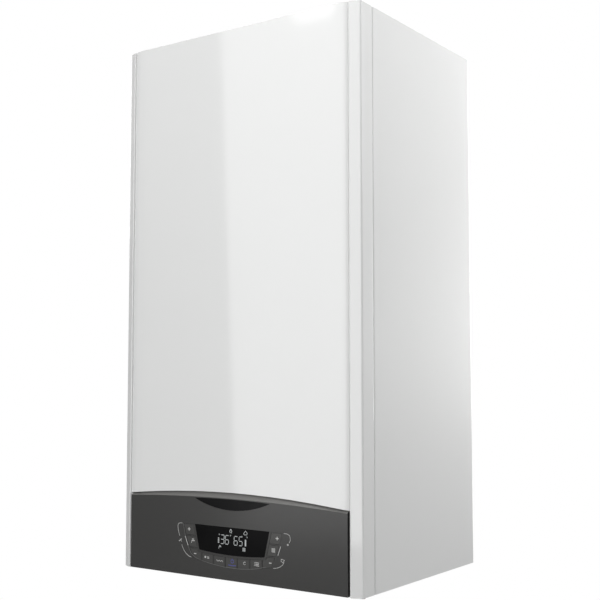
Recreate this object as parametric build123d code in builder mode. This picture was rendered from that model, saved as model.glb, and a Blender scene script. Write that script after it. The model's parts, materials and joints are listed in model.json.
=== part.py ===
"""Wall-hung condensing combi boiler, 745 mm tall.

Frame: +X to the right seen from the room, +Y into the wall, +Z up, millimetres.
The origin is midway between the two wall screws, on the wall.
Heights below are measured up from the casing's bottom edge, depths out from the wall.
"""

import os
from math import cos, radians, sin, sqrt

from build123d import *

os.makedirs("parts", exist_ok=True)

# ---------------------------------------------------------------- driving dimensions

WIDTH = 400.0  # casing, over the side panels
HEIGHT = 745.0
DEPTH = 319.0  # wall to the face of the front cover
HANG_DROP = 45.0  # wall screws below the casing's top

PANEL_SHEET = 1.0
FRAME_SHEET = 1.2
BRACKET_SHEET = 2.0
FOLD_RADIUS = 2.0
SEAT_GAP = 0.4  # between the front cover or the control panel and what they pass
RUNNING_GAP = 0.05  # radial, pins and shafts in their bearings
FREE_GAP = 0.5  # radial, turned parts inside a housing

# front cover
COVER_DEPTH = 36.0  # front edge of the side panels to the face
SEAM_GAP = 1.0
STRIP_WIDTH = 16.5  # bevelled strip along each long edge
STRIP_SETBACK = 8.0
GROOVE_WIDTH = 1.4
GROOVE_DEPTH = 3.6
EDGE_TURN = 17.0  # the face curves back over this width beside the groove
EDGE_DROP = 2.6
COVER_FLANGE = 12.0
PEG_RADIUS = 3.0
PEG_SPREAD = 240.0
PEG_LENGTH = 12.0
PEG_DROP = 8.0  # below the casing's top
SCREW_RADIUS = 2.0
SCREW_HEAD_RADIUS = 3.8
SCREW_HEAD = 2.2
SCREW_LENGTH = 8.0
COVER_SCREW_INSET = 8.0
COVER_SCREW_SETBACK = 19.0  # behind the face
COVER_LIP = 14.0
HEM = 6.0  # turned in along the cover's arched cut-out

# side, top and bottom sheets
SIDE_FLANGE = 15.0
TRAY_FLANGE = 12.0
TRAY_GAP = 7.0  # tray to the control box behind the panel
TRAY_HOLE_GAP = 2.5  # round each pipe that passes the bottom tray
FRAME_FLANGE = 25.0
RAIL_HEIGHT = 42.0
RAIL_SETBACK = 11.0  # behind the face
RAIL_GAP = 0.6  # control panel to the rails that carry it

# control panel
PANEL_SIDE_GAP = 1.5  # beside the panel, in the cover's cut-out
PANEL_RECESS = 0.3  # panel behind the cover's face
PANEL_CROWN = 115.5  # height of the cover's arched edge at the middle
PANEL_ARC_RADIUS = 1600.0
BAND_CROWN = 107.6  # lower edge of the bevelled band under the arch
BAND_ARC_RADIUS = 2800.0
BAND_SETBACK = 4.0
FASCIA_WALL = 2.5
FASCIA_DEPTH = 14.0
FASCIA_FOOT = 0.6
HINGE_SETBACK = 34.0  # behind the face
HINGE_HEIGHT = 12.0
HINGE_RADIUS = 4.0
BOX_INSET = 12.0  # control box inside the panel's ends
BOX_TOP = 95.0
BOX_FOOT = 4.0
BOX_SETBACK = 62.0  # rear of the control box behind the face
BOX_WALL = 2.0
BOX_CORNER = 5.0

DISPLAY_TOP_HALF = 63.0
DISPLAY_FOOT_HALF = 55.0
DISPLAY_TOP = 70.0
DISPLAY_FOOT = 36.5
DISPLAY_SAG = 3.0
CRESCENT_HALF = 64.0
CRESCENT_TIP = 105.3
CRESCENT_CROWN = 106.6
CRESCENT_FOOT = 92.1
CRESCENT_THICKNESS = 1.2

KEYS_TOP_HALF = 84.0
KEYS_WAIST_HALF = 76.9
KEYS_FOOT_HALF = 66.0
KEYS_WAIST = 47.0
KEYS_CORNER = 24.0
KEYS_FOOT = 16.5
KEYS_MARGIN = 2.2  # between the display and the keys around it
KEY_PITCH = 20.4  # bottom row
KEY_ROWS = (54.0, 38.0)  # heights that part the side columns into three keys
KEY_RIB = 1.6  # between neighbouring keys
KEY_GAP = 0.35  # round each key in its opening
KEY_RECESS = 0.2
KEY_FLANGE = 0.6
KEY_FLANGE_THICKNESS = 1.2
KEY_TRAVEL = 1.0
KEY_SLACK = 0.1
STEM_SIZE = 3.6
STEM_LENGTH = 1.7
SWITCH_SIZE = 6.0
BOARD = 1.6  # thickness of every circuit board

# wall bracket
BRACKET_WIDTH = 320.0
BRACKET_HEIGHT = 50.0
WALL_HOLE_SPACING = 260.0
WALL_HOLE_RADIUS = 4.5
HOOK_WIDTH = 30.0
HOOK_SPREAD = 190.0
HOOK_RISE = 18.0
WALL_GAP = 5.0  # rear edge of the casing to the wall

# flue
FLUE_DEPTH = 125.0
FLUE_RADIUS = 30.0  # inside, takes the 60 mm exhaust pipe
AIR_RADIUS = 50.0  # outside, the 100 mm air pipe slides over it
COLLAR_RISE = 36.0
COLLAR_FLANGE = 68.0
COLLAR_PLATE = 3.0
COLLAR_BEAD = 3.0  # round the air pipe's foot
COLLAR_CUT = 20.0  # corners of the plate
SPOKE_HEIGHT = 14.0
SPOKE_WIDTH = 4.0
COLLAR_SCREWS = 4

# combustion
EXCHANGER_RISE = 138.0  # above the fan
EXCHANGER_RADIUS = 105.0
EXCHANGER_REAR = 95.0
EXCHANGER_SETBACK = 64.0  # front rim behind the cover's face
EXCHANGER_WALL = 2.0
COIL_INNER = 52.0
COIL_OUTER = 92.0
COIL_TURNS = 3
COIL_FRONT_GAP = 27.0  # coil to the front rim
BURNER_RADIUS = 34.0
BURNER_REAR_GAP = 40.0  # burner to the shell's rear
DOOR_THICKNESS = 10.0
DOOR_NUTS = 6
FAN_X = 105.0
FAN_LENGTH = 45.0
FAN_GAP = 5.0  # fan behind the exchanger's front rim
FAN_WALL = 2.5
IMPELLER_RADIUS = 42.0
IMPELLER_BLADES = 9
FAN_OUTLET_RISE = 80.0

# hydraulics
UNION_PITCH = 65.0
UNION_DEPTH = 130.0
UNION_RADIUS = 13.2  # 3/4 inch tails
SMALL_UNION_RADIUS = 10.5  # 1/2 inch tails
UNION_DROP = 18.0
PUMP_HEIGHT = 150.0
PUMP_BODY_RADIUS = 38.0
PUMP_REAR = 130.0
PUMP_FRONT = 190.0
PUMP_MOTOR_FRONT = 248.0
PUMP_MOTOR_RADIUS = 36.0
ROTOR_RADIUS = 27.0
SHAFT_RADIUS = 4.0
BLOCK_TOP = 104.0
BLOCK_FOOT = 22.0
VESSEL_HALF = 140.0
VESSEL_FOOT = 130.0
VESSEL_GAP = 70.0  # vessel's top below the exchanger's middle
VESSEL_REAR = 12.0
VESSEL_FRONT = 82.0
PIPE_RADIUS = 9.0
PIPE_BEND = 18.0
BARREL_SIDE_COUNT = 12  # flats of the smaller round pieces behind the cover
DRUM_SIDE_COUNT = 16  # flats of the larger ones
SCREW_SIDE_COUNT = 6
PEG_SIDE_COUNT = 8
KNOB_SIDE_COUNT = 8
NUT_SIDE_COUNT = 6

# casing details
SIDE_SCREW_FOOT = 60.0
SIDE_SCREW_DROP = 85.0  # upper ones below the casing's top
TRAP_X, TRAP_OUTLET = -85.0, 10.0
TRAP_GAP = 13.0  # trap to the control box
FILLER_X, FILLER_DEPTH, FILLER_STEM = 98.0, 185.0, 5.0
GLAND_INSET, GLAND_DEPTH, GLAND_RADIUS = 40.0, 60.0, 9.0
GLAND_REACH = 8.0  # below the tray
GLAND_TOP = 6.0
GLAND_LIP = 3.0
GLAND_BORE = 5.0
UNION_NUT = 10.0  # height of the nuts' underside
UNION_WALL = 3.5
NUT_WALL = 4.0

# control panel details
WINDOW_FLANGE = 1.5
WINDOW_FLANGE_THICKNESS = 1.0
WINDOW_RECESS = 0.2
WINDOW_GAP = 0.15
INSERT_GAP = 0.1
MAIN_BOARD_GAP = 9.0  # main board to the box's rear wall

# hydraulic blocks
BLOCK_HALF = 22.0
BLOCK_BODY = 34.0
ARM_HALF = 17.0
STAND_X = 96.0
STAND_RADIUS = 6.0
FLOW_PORT_X = -88.0
FLOW_PORT_DEPTH = 122.0
PORT_RISE = 6.0
SPINDLE_RADIUS = 3.0
SPINDLE_STROKE = 6.0
PLUG_RADIUS = 8.0
PLUG_HEIGHT = 36.0
PLUG_LENGTH = 24.0
PLATE_FOOT = 34.0
PLATE_TOP = 100.0
PLATE_HALF = 92.0
PLATE_REAR = 46.0
PLATE_FRONT = 92.0
PLATE_COUNT = 4
PLATE_PITCH = 10.5
PLATE_PORT_X = 75.0
PLATE_PORT_HEIGHT = 45.0
RELIEF_GAP = 17.6  # relief knob to the control box
RELIEF_FRONT = 8.0  # valve body in front of its outlet
RELIEF_NECK = 10.0
RELIEF_KNOB = 14.0
RELIEF_DROP = 14.0  # outlet below the casing
RELIEF_RADIUS = 13.0
DISCHARGE_RADIUS = 7.0
FILLER_REACH = 14.0
FILLER_GAP = 2.0  # knob below the casing
KNOB_RADIUS = 13.0
KNOB_BEVEL = 2.0

# pump
PUMP_SEAT_RADIUS = 18.0
PUMP_SEAT_RISE = 6.0
PUMP_PORT_OFFSET = 24.0
MOTOR_PLATE = 6.0
ROTOR_VANES = 6
VENT_OFFSET = -20.0
VENT_SEAT = 1.0  # boss above the pump body
VENT_TALL = 45.0
VENT_BODY = 33.0
VENT_RADIUS = 13.0

# heat exchanger and burner
DOOR_RADIUS = 118.0
STUD_RING = 109.0
NUT_RADIUS = 5.0
SHELL_FLANGE = 3.0
LEG_SIZE = 14.0
LEG_SPREAD = 140.0
SPIGOT_REACH = 15.0
SPIGOT_RADIUS = 12.0
TAIL_RADIUS = 7.0
TAIL_GAP = 0.3
RETURN_DROP = 30.0  # return port below the exchanger's middle
RETURN_DEPTH = 150.0
DRAIN_SETBACK = 20.0  # behind the front rim
DRAIN_RADIUS = 8.0
COIL_INSET = 17.0
COIL_STEP = 5.0
BURNER_WALL = 1.5
BURNER_ROWS = 2
BURNER_SLOT = 3.0
DUCT_SETBACK = 26.0  # mixing duct behind the cover's face
DUCT_RADIUS = 40.0
NECK_RADIUS = 14.0
ELECTRODE_RING = 46.0
ELECTRODE_RADIUS = 4.5
ELECTRODE_REACH = 70.0
ELECTRODE_ANGLES = (160, 180, 200)

# fan, mixer, silencer, gas valve
VOLUTE_START = 53.0
VOLUTE_END = 64.0
VOLUTE_TONGUE = 63  # angle where the spiral leaves the outlet, degrees
VOLUTE_STEPS = 10
FAN_OUTLET_SHIFT = 44.0
FAN_OUTLET_DROP = 22.0
FAN_EYE = 26.0
FAN_MOTOR_LENGTH = 34.0
MIXER_LENGTH = 40.0
MIXER_RADIUS = 29.0
MIXER_FLANGE_RADIUS = 34.0
MIXER_FLANGE = 5.0
THROAT_RADIUS = 18.0
THROAT_INSET = 13.0
GAS_PORT_DROP = 6.0  # below the mixer's flanges
GAS_PORT_RADIUS = 10.0
SILENCER_LEFT = -118.0
SILENCER_RIGHT = 136.0
SILENCER_DEEP = 42.0
SILENCER_CUT = 9.0
SILENCER_WALL = 2.0
SILENCER_TALL = 54.0
VALVE_GAP = 4.0  # gas valve above the air vent
VALVE_TALL = 62.0
VALVE_NECK = 22.0
VALVE_BACK = 33.0  # from its port's axis to its rear
VALVE_REACH = 21.0  # from its port's axis to its front
VALVE_WIDTH = 66.0
SOLENOID_OFFSET = 16.0
SOLENOID_SIZE = 26.0
SOLENOID_LENGTH = 18.0
SOLENOID_CAP = 10.0

# flue, expansion vessel and pipes
PIPE_WALL = 2.0
SLEEVE = 5.0  # bead round the foot of the flue duct
SPOKE_COUNT = 3
VESSEL_CORNER = 40.0
VESSEL_BEVEL = 14.0
AIR_VALVE_X = 20.0
VESSEL_RIM = 4.0
HOSE_PORT_X = -60.0
HOSE_RADIUS = 4.5
HOSE_TURN = 108.0
HOSE_BEND = 6.0
HOSE_FOOT_DEPTH = 108.0
GAS_PIPE_RISE = 33.0  # last rise, up to the gas valve
FLOW_PIPE_REACH = 30.0
FLOW_PIPE_TURN = 250.0
FLOW_PIPE_SLOPE = 60.0  # height that its slanted stretch takes
DRAIN_TURN = 300.0
DRAIN_SLOPE = 100.0
TRAP_FOOT = 30.0
TRAP_TOP = 130.0
TRAP_RADIUS = 26.0
TRAP_RIM = 3.0
TRAP_CAP = 20.0
TRAP_OUTLET_END = -12.0

# ---------------------------------------------------------------- what follows from them

HANG_HEIGHT = HEIGHT - HANG_DROP
FLOOR = -HANG_HEIGHT
HALF = WIDTH / 2
FACE_HALF = HALF - STRIP_WIDTH
SEAM_DEPTH = DEPTH - COVER_DEPTH
COVER_REAR = SEAM_DEPTH + SEAM_GAP
COVER_SCREW_DEPTH = DEPTH - COVER_SCREW_SETBACK
INNER_HALF = HALF - PANEL_SHEET
FRAME_REAR = WALL_GAP + PANEL_SHEET
FRAME_FRONT = FRAME_REAR + FRAME_SHEET
UNION_X = [UNION_PITCH * step for step in (-2, -1, 0, 1, 2)]

PANEL_HALF = FACE_HALF - PANEL_SIDE_GAP
PANEL_FACE = DEPTH - PANEL_RECESS
HINGE_DEPTH = DEPTH - HINGE_SETBACK
BOX_HALF = PANEL_HALF - BOX_INSET
BOX_REAR = DEPTH - BOX_SETBACK
MAIN_BOARD_DEPTH = BOX_REAR + BOX_WALL + MAIN_BOARD_GAP
TRAY_FRONT = BOX_REAR - TRAY_GAP
RAIL_FRONT = DEPTH - RAIL_SETBACK
GLAND_X = HALF - GLAND_INSET
SIDE_SCREW_HEIGHTS = (SIDE_SCREW_FOOT, HEIGHT - SIDE_SCREW_DROP)
TRAP_DEPTH = BOX_REAR - TRAP_GAP - TRAP_RADIUS - TRAP_RIM
RELIEF_DEPTH = BOX_REAR - RELIEF_GAP - RELIEF_KNOB - SEAT_GAP - RELIEF_NECK - RELIEF_FRONT

# the combustion parts stand on each other, from the pump's air vent upwards
VENT_FOOT = PUMP_HEIGHT + PUMP_BODY_RADIUS + VENT_SEAT
VALVE_FOOT = VENT_FOOT + VENT_TALL + VALVE_GAP
VALVE_TOP = VALVE_FOOT + VALVE_TALL
GAS_PORT_HEIGHT = VALVE_TOP + VALVE_NECK
FAN_HEIGHT = GAS_PORT_HEIGHT + GAS_PORT_DROP + MIXER_FLANGE_RADIUS
EXCHANGER_HEIGHT = FAN_HEIGHT + EXCHANGER_RISE
RETURN_HEIGHT = EXCHANGER_HEIGHT - RETURN_DROP
VESSEL_TOP = EXCHANGER_HEIGHT - VESSEL_GAP

# and in front of each other, from the cover's face backwards
DUCT_FRONT = DEPTH - DUCT_SETBACK
EXCHANGER_FRONT = DEPTH - EXCHANGER_SETBACK
DRAIN_DEPTH = EXCHANGER_FRONT - DRAIN_SETBACK
BURNER_LENGTH = EXCHANGER_FRONT - EXCHANGER_REAR - BURNER_REAR_GAP
COIL_REAR = EXCHANGER_REAR + COIL_INSET
COIL_PITCH = (EXCHANGER_FRONT - COIL_FRONT_GAP - COIL_REAR) / COIL_TURNS
FLOW_DEPTH = COIL_REAR + COIL_TURNS * COIL_PITCH - (COIL_PITCH + COIL_STEP) / 2
FAN_FRONT = EXCHANGER_FRONT - FAN_GAP
FAN_REAR = FAN_FRONT - FAN_LENGTH
FAN_MOTOR_FRONT = FAN_FRONT + FAN_MOTOR_LENGTH
MIXER_REAR = FAN_REAR - MIXER_LENGTH
GAS_PORT_DEPTH = MIXER_REAR + MIXER_LENGTH / 2
VALVE_REAR = GAS_PORT_DEPTH - VALVE_BACK
VALVE_FRONT = GAS_PORT_DEPTH + VALVE_REACH
GAS_PIPE_TURN = VALVE_FOOT - GAS_PIPE_RISE


# ---------------------------------------------------------------- planes and shared forms


def wall_plane(depth):
    """Upright plane facing the room: local x to the right, local y the height."""
    return Plane((0, -depth, FLOOR), x_dir=(1, 0, 0), z_dir=(0, -1, 0))


def level(height):
    """Horizontal plane: local x to the right, local y towards the wall."""
    return Plane((0, 0, FLOOR + height))


def side_plane(x):
    """Upright plane across the casing: local x towards the wall, local y the height."""
    return Plane((x, 0, FLOOR), x_dir=(0, 1, 0), z_dir=(1, 0, 0))


def bent_sheet(plane, thickness, side, radius, *points):
    """Section of a sheet folded along the points, sharply where the radius is 0."""
    with BuildSketch(plane) as section:
        with BuildLine():
            if radius:
                FilletPolyline(*points, radius=radius)
            else:
                Polyline(*points)
            offset(amount=thickness, side=side, kind=Kind.INTERSECTION)
        make_face()
    return section.sketch


def arch(crown, radius, half):
    """Height of an arch's ends when it is cut off at the given half width."""
    return crown - radius + sqrt(radius**2 - half**2)


def arched_outline(depth, half, foot, crown, radius):
    """Panel outline with straight sides and foot under an arched top."""
    ends = arch(crown, radius, half)
    with BuildSketch(wall_plane(depth)) as outline:
        with BuildLine():
            Polyline((-half, ends), (-half, foot), (half, foot), (half, ends))
            ThreePointArc((half, ends), (0, crown), (-half, ends))
        make_face()
    return outline.sketch


def disc(plane, x, y, radius):
    """Round outline at a place on a plane."""
    with BuildSketch(plane) as outline:
        with Locations((x, y)):
            Circle(radius)
    return outline.sketch


def barrel(plane, x, y, radius, flats=BARREL_SIDE_COUNT):
    """Outline of a few flats, which keeps the round pieces behind the cover light."""
    with BuildSketch(plane) as outline:
        with Locations((x, y)):
            RegularPolygon(radius, flats)
    return outline.sketch


def block(plane, x, y, width, tall, cut=0):
    """Rectangle centred at a place on a plane, its corners cut off where asked."""
    with BuildSketch(plane) as outline:
        with Locations((x, y)):
            Rectangle(width, tall)
        if cut:
            chamfer(outline.vertices(), cut)
    return outline.sketch


def pipe_run(radius, reach, *points):
    """Section and path of a pipe; at each (x, depth, height) the corner is cut off."""
    stops = [Vector(x, -depth, FLOOR + height) for x, depth, height in points]
    route = [stops[0]]
    for before, corner, after in zip(stops, stops[1:], stops[2:]):
        route.append(corner + (before - corner).normalized() * reach)
        route.append(corner + (after - corner).normalized() * reach)
    route.append(stops[-1])
    with BuildLine() as path:
        Polyline(*route)
    with BuildSketch(Plane(path.line @ 0, z_dir=path.line % 0)) as section:
        RegularPolygon(radius, BARREL_SIDE_COUNT)
    return section.sketch, path.line


def save(builder, label):
    builder.part.label = label
    export_step(builder.part, f"parts/{label}.step")


# ---------------------------------------------------------------- wall bracket and casing

hook_foot = HANG_HEIGHT - 4
hook_front = FRAME_FRONT + 0.3

with BuildPart() as wall_bracket:
    with BuildSketch(wall_plane(0)):
        with Locations((0, HANG_HEIGHT)):
            Rectangle(BRACKET_WIDTH, BRACKET_HEIGHT)
            with GridLocations(WALL_HOLE_SPACING, 0, 2, 1):
                Circle(WALL_HOLE_RADIUS, mode=Mode.SUBTRACT)
    extrude(amount=BRACKET_SHEET)
    for hook_x in (-HOOK_SPREAD / 2, HOOK_SPREAD / 2):
        with BuildSketch(side_plane(hook_x - HOOK_WIDTH / 2)):
            with BuildLine():
                Polyline(
                    (0, hook_foot),
                    (-hook_front - BRACKET_SHEET, hook_foot),
                    (-hook_front - BRACKET_SHEET, HANG_HEIGHT + HOOK_RISE),
                    (-hook_front, HANG_HEIGHT + HOOK_RISE),
                    (-hook_front, hook_foot + BRACKET_SHEET),
                    (0, hook_foot + BRACKET_SHEET),
                    close=True,
                )
            make_face()
        extrude(amount=HOOK_WIDTH)
save(wall_bracket, "wall_bracket")

rail_x = PANEL_HALF + RAIL_GAP
screw_x = HALF - COVER_SCREW_INSET
side_screw_x = HALF - SIDE_FLANGE / 2
tab_foot = PANEL_SHEET + 0.3
fold_cut = FOLD_RADIUS - PANEL_SHEET

with BuildPart() as rear_frame:
    extrude(
        bent_sheet(
            level(FRAME_SHEET),
            FRAME_SHEET,
            Side.RIGHT,
            0,
            (-INNER_HALF, -FRAME_REAR - FRAME_FLANGE),
            (-INNER_HALF, -FRAME_REAR - fold_cut),
            (-INNER_HALF + fold_cut, -FRAME_REAR),
            (INNER_HALF - fold_cut, -FRAME_REAR),
            (INNER_HALF, -FRAME_REAR - fold_cut),
            (INNER_HALF, -FRAME_REAR - FRAME_FLANGE),
        ),
        amount=HEIGHT - PANEL_SHEET - FRAME_SHEET,
    )
    # the side flanges stop under the top panel's flange
    with BuildSketch(level(HEIGHT - PANEL_SHEET - SIDE_FLANGE)):
        with Locations((0, -FRAME_FRONT - FRAME_FLANGE / 2)):
            Rectangle(WIDTH, FRAME_FLANGE)
    extrude(amount=SIDE_FLANGE, mode=Mode.SUBTRACT)
    # windows that drop over the bracket's hooks
    with BuildSketch(wall_plane(0)):
        for hook_x in (-HOOK_SPREAD / 2, HOOK_SPREAD / 2):
            with Locations((hook_x, hook_foot + BRACKET_SHEET)):
                Rectangle(HOOK_WIDTH + 4, HOOK_RISE + 10, align=(Align.CENTER, Align.MAX))
    extrude(amount=DEPTH, mode=Mode.SUBTRACT)
    with BuildSketch(wall_plane(FRAME_REAR)):
        for h in SIDE_SCREW_HEIGHTS:
            with Locations((-side_screw_x, h), (side_screw_x, h)):
                RegularPolygon(SCREW_RADIUS + RUNNING_GAP, SCREW_SIDE_COUNT)
    extrude(amount=FRAME_SHEET, mode=Mode.SUBTRACT)
    # rails that carry the control panel and the cover's screw tabs
    for sign in (-1, 1):
        with BuildSketch(side_plane(sign * rail_x)):
            with BuildLine():
                Polyline(
                    (-FRAME_REAR, tab_foot),
                    (-RAIL_FRONT, tab_foot),
                    (-RAIL_FRONT, HINGE_HEIGHT - 3),
                    (-HINGE_DEPTH - 10, HINGE_HEIGHT + 4),
                    (-HINGE_DEPTH + 4, HINGE_HEIGHT + 12),
                    (-TRAY_FRONT + 20, RAIL_HEIGHT),
                    (-FRAME_REAR, RAIL_HEIGHT),
                    close=True,
                )
            make_face()
            with Locations((-HINGE_DEPTH, HINGE_HEIGHT)):
                Circle(HINGE_RADIUS + RUNNING_GAP, mode=Mode.SUBTRACT)
        extrude(amount=sign * FRAME_SHEET)
        with BuildSketch(level(tab_foot)):
            with Locations((sign * (rail_x + INNER_HALF - 1) / 2, -COVER_SCREW_DEPTH)):
                Rectangle(INNER_HALF - 1 - rail_x, 2 * (RAIL_FRONT - COVER_SCREW_DEPTH))
            with Locations((sign * screw_x, -COVER_SCREW_DEPTH)):
                RegularPolygon(SCREW_RADIUS + RUNNING_GAP, SCREW_SIDE_COUNT, mode=Mode.SUBTRACT)
        extrude(amount=FRAME_SHEET)
save(rear_frame, "rear_frame")

with BuildPart() as right_side_panel:
    extrude(
        bent_sheet(
            level(0),
            PANEL_SHEET,
            Side.RIGHT,
            FOLD_RADIUS,
            (HALF - SIDE_FLANGE, -WALL_GAP),
            (HALF, -WALL_GAP),
            (HALF, -SEAM_DEPTH),
            (HALF - SIDE_FLANGE, -SEAM_DEPTH),
        ),
        amount=HEIGHT,
    )
    with BuildSketch(wall_plane(WALL_GAP)):
        with Locations([(side_screw_x, h) for h in SIDE_SCREW_HEIGHTS]):
            RegularPolygon(SCREW_RADIUS + RUNNING_GAP, SCREW_SIDE_COUNT)
    extrude(amount=PANEL_SHEET, mode=Mode.SUBTRACT)
save(right_side_panel, "right_side_panel")

with BuildPart() as left_side_panel:
    mirror(right_side_panel.part, about=Plane.YZ)
save(left_side_panel, "left_side_panel")

top_front = SEAM_DEPTH - PANEL_SHEET
peg_height = HEIGHT - PEG_DROP
collar_ring = (AIR_RADIUS + COLLAR_FLANGE) / 2

with BuildPart() as top_panel:
    middle = -(top_front + FRAME_FRONT) / 2
    extrude(
        block(level(HEIGHT), 0, middle, 2 * INNER_HALF, top_front - FRAME_FRONT, FOLD_RADIUS),
        amount=-SIDE_FLANGE,
    )
    underside = top_panel.faces().sort_by(Axis.Z)[0]
    offset(amount=-PANEL_SHEET, openings=underside)
    with BuildSketch(level(HEIGHT)):
        with Locations((0, -FLUE_DEPTH)):
            RegularPolygon(AIR_RADIUS, DRUM_SIDE_COUNT)
            with PolarLocations(collar_ring, COLLAR_SCREWS, 45, rotate=False):
                RegularPolygon(SCREW_RADIUS + RUNNING_GAP, SCREW_SIDE_COUNT)
    extrude(amount=-SIDE_FLANGE, mode=Mode.SUBTRACT)
    with BuildSketch(wall_plane(top_front)):
        with Locations((0, peg_height)):
            with GridLocations(PEG_SPREAD, 0, 2, 1):
                RegularPolygon(PEG_RADIUS, PEG_SIDE_COUNT)
    extrude(amount=PEG_LENGTH)
    chamfer(top_panel.faces().sort_by(Axis.Y)[0].edges(), 0.6)
save(top_panel, "top_panel")

# pipes and fittings that pass the bottom tray: (x, depth, radius)
union_radii = [UNION_RADIUS, SMALL_UNION_RADIUS, UNION_RADIUS, SMALL_UNION_RADIUS, UNION_RADIUS]
tray_holes = [(x, UNION_DEPTH, r + TRAY_HOLE_GAP) for x, r in zip(UNION_X, union_radii)]
tray_holes.append((TRAP_X, TRAP_DEPTH, TRAP_OUTLET + TRAY_HOLE_GAP))
tray_holes.append((FILLER_X, FILLER_DEPTH, FILLER_STEM + TRAY_HOLE_GAP))
tray_holes.append((UNION_PITCH, RELIEF_DEPTH, DISCHARGE_RADIUS + TRAY_HOLE_GAP))
tray_holes.append((GLAND_X, GLAND_DEPTH, GLAND_RADIUS + RUNNING_GAP))

with BuildPart() as bottom_tray:
    extrude(
        bent_sheet(
            side_plane(-rail_x + 2),
            FRAME_SHEET,
            Side.RIGHT,
            0,
            (-FRAME_REAR, 0),
            (-TRAY_FRONT, 0),
            (-TRAY_FRONT, TRAY_FLANGE),
        ),
        amount=2 * rail_x - 4,
    )
    plate_depth = TRAY_FRONT - FRAME_REAR - 4
    middle = -FRAME_REAR - plate_depth / 2
    extrude(
        block(level(0), 0, middle, 2 * INNER_HALF, plate_depth, FOLD_RADIUS), amount=FRAME_SHEET
    )
    for x, depth, radius in tray_holes:
        extrude(barrel(level(0), x, -depth, radius), amount=FRAME_SHEET, mode=Mode.SUBTRACT)
save(bottom_tray, "bottom_tray")

# the cover's outline seen from above, from its right rear corner to the middle of the face
groove_out = FACE_HALF + GROOVE_WIDTH
shoulder = DEPTH - STRIP_SETBACK / STRIP_WIDTH * GROOVE_WIDTH
right_outline = [
    (HALF, -COVER_REAR),
    (HALF, -DEPTH + STRIP_SETBACK),
    (groove_out + 0.4, -shoulder),
    (groove_out - 0.2, -DEPTH + GROOVE_DEPTH),
    (FACE_HALF + 0.2, -DEPTH + GROOVE_DEPTH),
    (FACE_HALF - 0.2, -DEPTH + EDGE_DROP),
    (FACE_HALF - EDGE_TURN / 3, -DEPTH + EDGE_DROP / 3),
    (FACE_HALF - EDGE_TURN, -DEPTH),
]
right_radii = [1.5, 3, 1.2, 0, 0, 1.2, 1.8 * EDGE_TURN, 6 * EDGE_TURN]
cover_outline = right_outline + [(-x, y) for x, y in reversed(right_outline)]
cover_radii = right_radii + list(reversed(right_radii))
cut_half = FACE_HALF + 0.1

with BuildSketch(level(0)) as footprint:
    with BuildLine():
        FilletPolyline(*cover_outline, radius=cover_radii, close=True)
    make_face()

with BuildSketch(level(PANEL_SHEET)) as cover_cavity:
    offset(footprint.sketch_local, amount=-PANEL_SHEET)

with BuildPart() as front_cover:
    extrude(footprint.sketch, amount=HEIGHT)
    extrude(cover_cavity.sketch, amount=HEIGHT - 2 * PANEL_SHEET, mode=Mode.SUBTRACT)
    # open at the back but for the side flanges and a top lip that hangs on the pegs
    with BuildSketch(wall_plane(COVER_REAR)):
        Rectangle(
            2 * (HALF - COVER_FLANGE), HEIGHT - COVER_LIP, align=(Align.CENTER, Align.MIN)
        )
        with Locations((0, peg_height)):
            with GridLocations(PEG_SPREAD, 0, 2, 1):
                RegularPolygon(PEG_RADIUS + SEAT_GAP, PEG_SIDE_COUNT)
    extrude(amount=PANEL_SHEET, mode=Mode.SUBTRACT)
    # cut-out for the control panel, with a hem along its arch
    extrude(
        arched_outline(COVER_REAR - 5, cut_half, -1, PANEL_CROWN, PANEL_ARC_RADIUS),
        amount=DEPTH,
        mode=Mode.SUBTRACT,
    )
    with BuildSketch(wall_plane(DEPTH - 0.5)):
        with BuildLine():
            hem_ends = arch(PANEL_CROWN, PANEL_ARC_RADIUS, cut_half)
            ThreePointArc((-cut_half, hem_ends), (0, PANEL_CROWN), (cut_half, hem_ends))
            offset(amount=PANEL_SHEET, side=Side.LEFT)
        make_face()
        with Locations((0, PANEL_CROWN)):
            Rectangle(2 * (FACE_HALF - EDGE_TURN), 60, mode=Mode.INTERSECT)
    extrude(amount=-HEM)
    # each foot's flange is notched for the frame's tab and slotted for its screw
    for sign in (-1, 1):
        with BuildSketch(wall_plane(COVER_REAR)):
            with Locations((sign * (HALF - COVER_FLANGE), PANEL_SHEET)):
                Rectangle(2 * (COVER_FLANGE - 2), 2 * FRAME_SHEET + 6, align=(Align.CENTER, Align.MIN))
        extrude(amount=2, mode=Mode.SUBTRACT)
        with BuildSketch(level(0)):
            with Locations((sign * screw_x, -COVER_SCREW_DEPTH)):
                RegularPolygon(SCREW_RADIUS + SEAT_GAP, SCREW_SIDE_COUNT)
                Rectangle(
                    2 * (SCREW_RADIUS + SEAT_GAP),
                    COVER_SCREW_DEPTH - COVER_REAR + 1,
                    align=(Align.CENTER, Align.MIN),
                )
        extrude(amount=PANEL_SHEET, mode=Mode.SUBTRACT)
save(front_cover, "front_cover")


def screw(plane):
    """Pan-head screw standing on its plane with its head behind it."""
    with BuildPart() as fastener:
        with BuildSketch(plane):
            RegularPolygon(SCREW_RADIUS, SCREW_SIDE_COUNT)
        extrude(amount=SCREW_LENGTH)
        with BuildSketch(plane):
            RegularPolygon(SCREW_HEAD_RADIUS, SCREW_SIDE_COUNT)
        extrude(amount=-SCREW_HEAD)
    return fastener.part


side_screws = [(sign * side_screw_x, h) for sign in (-1, 1) for h in SIDE_SCREW_HEIGHTS]

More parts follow.
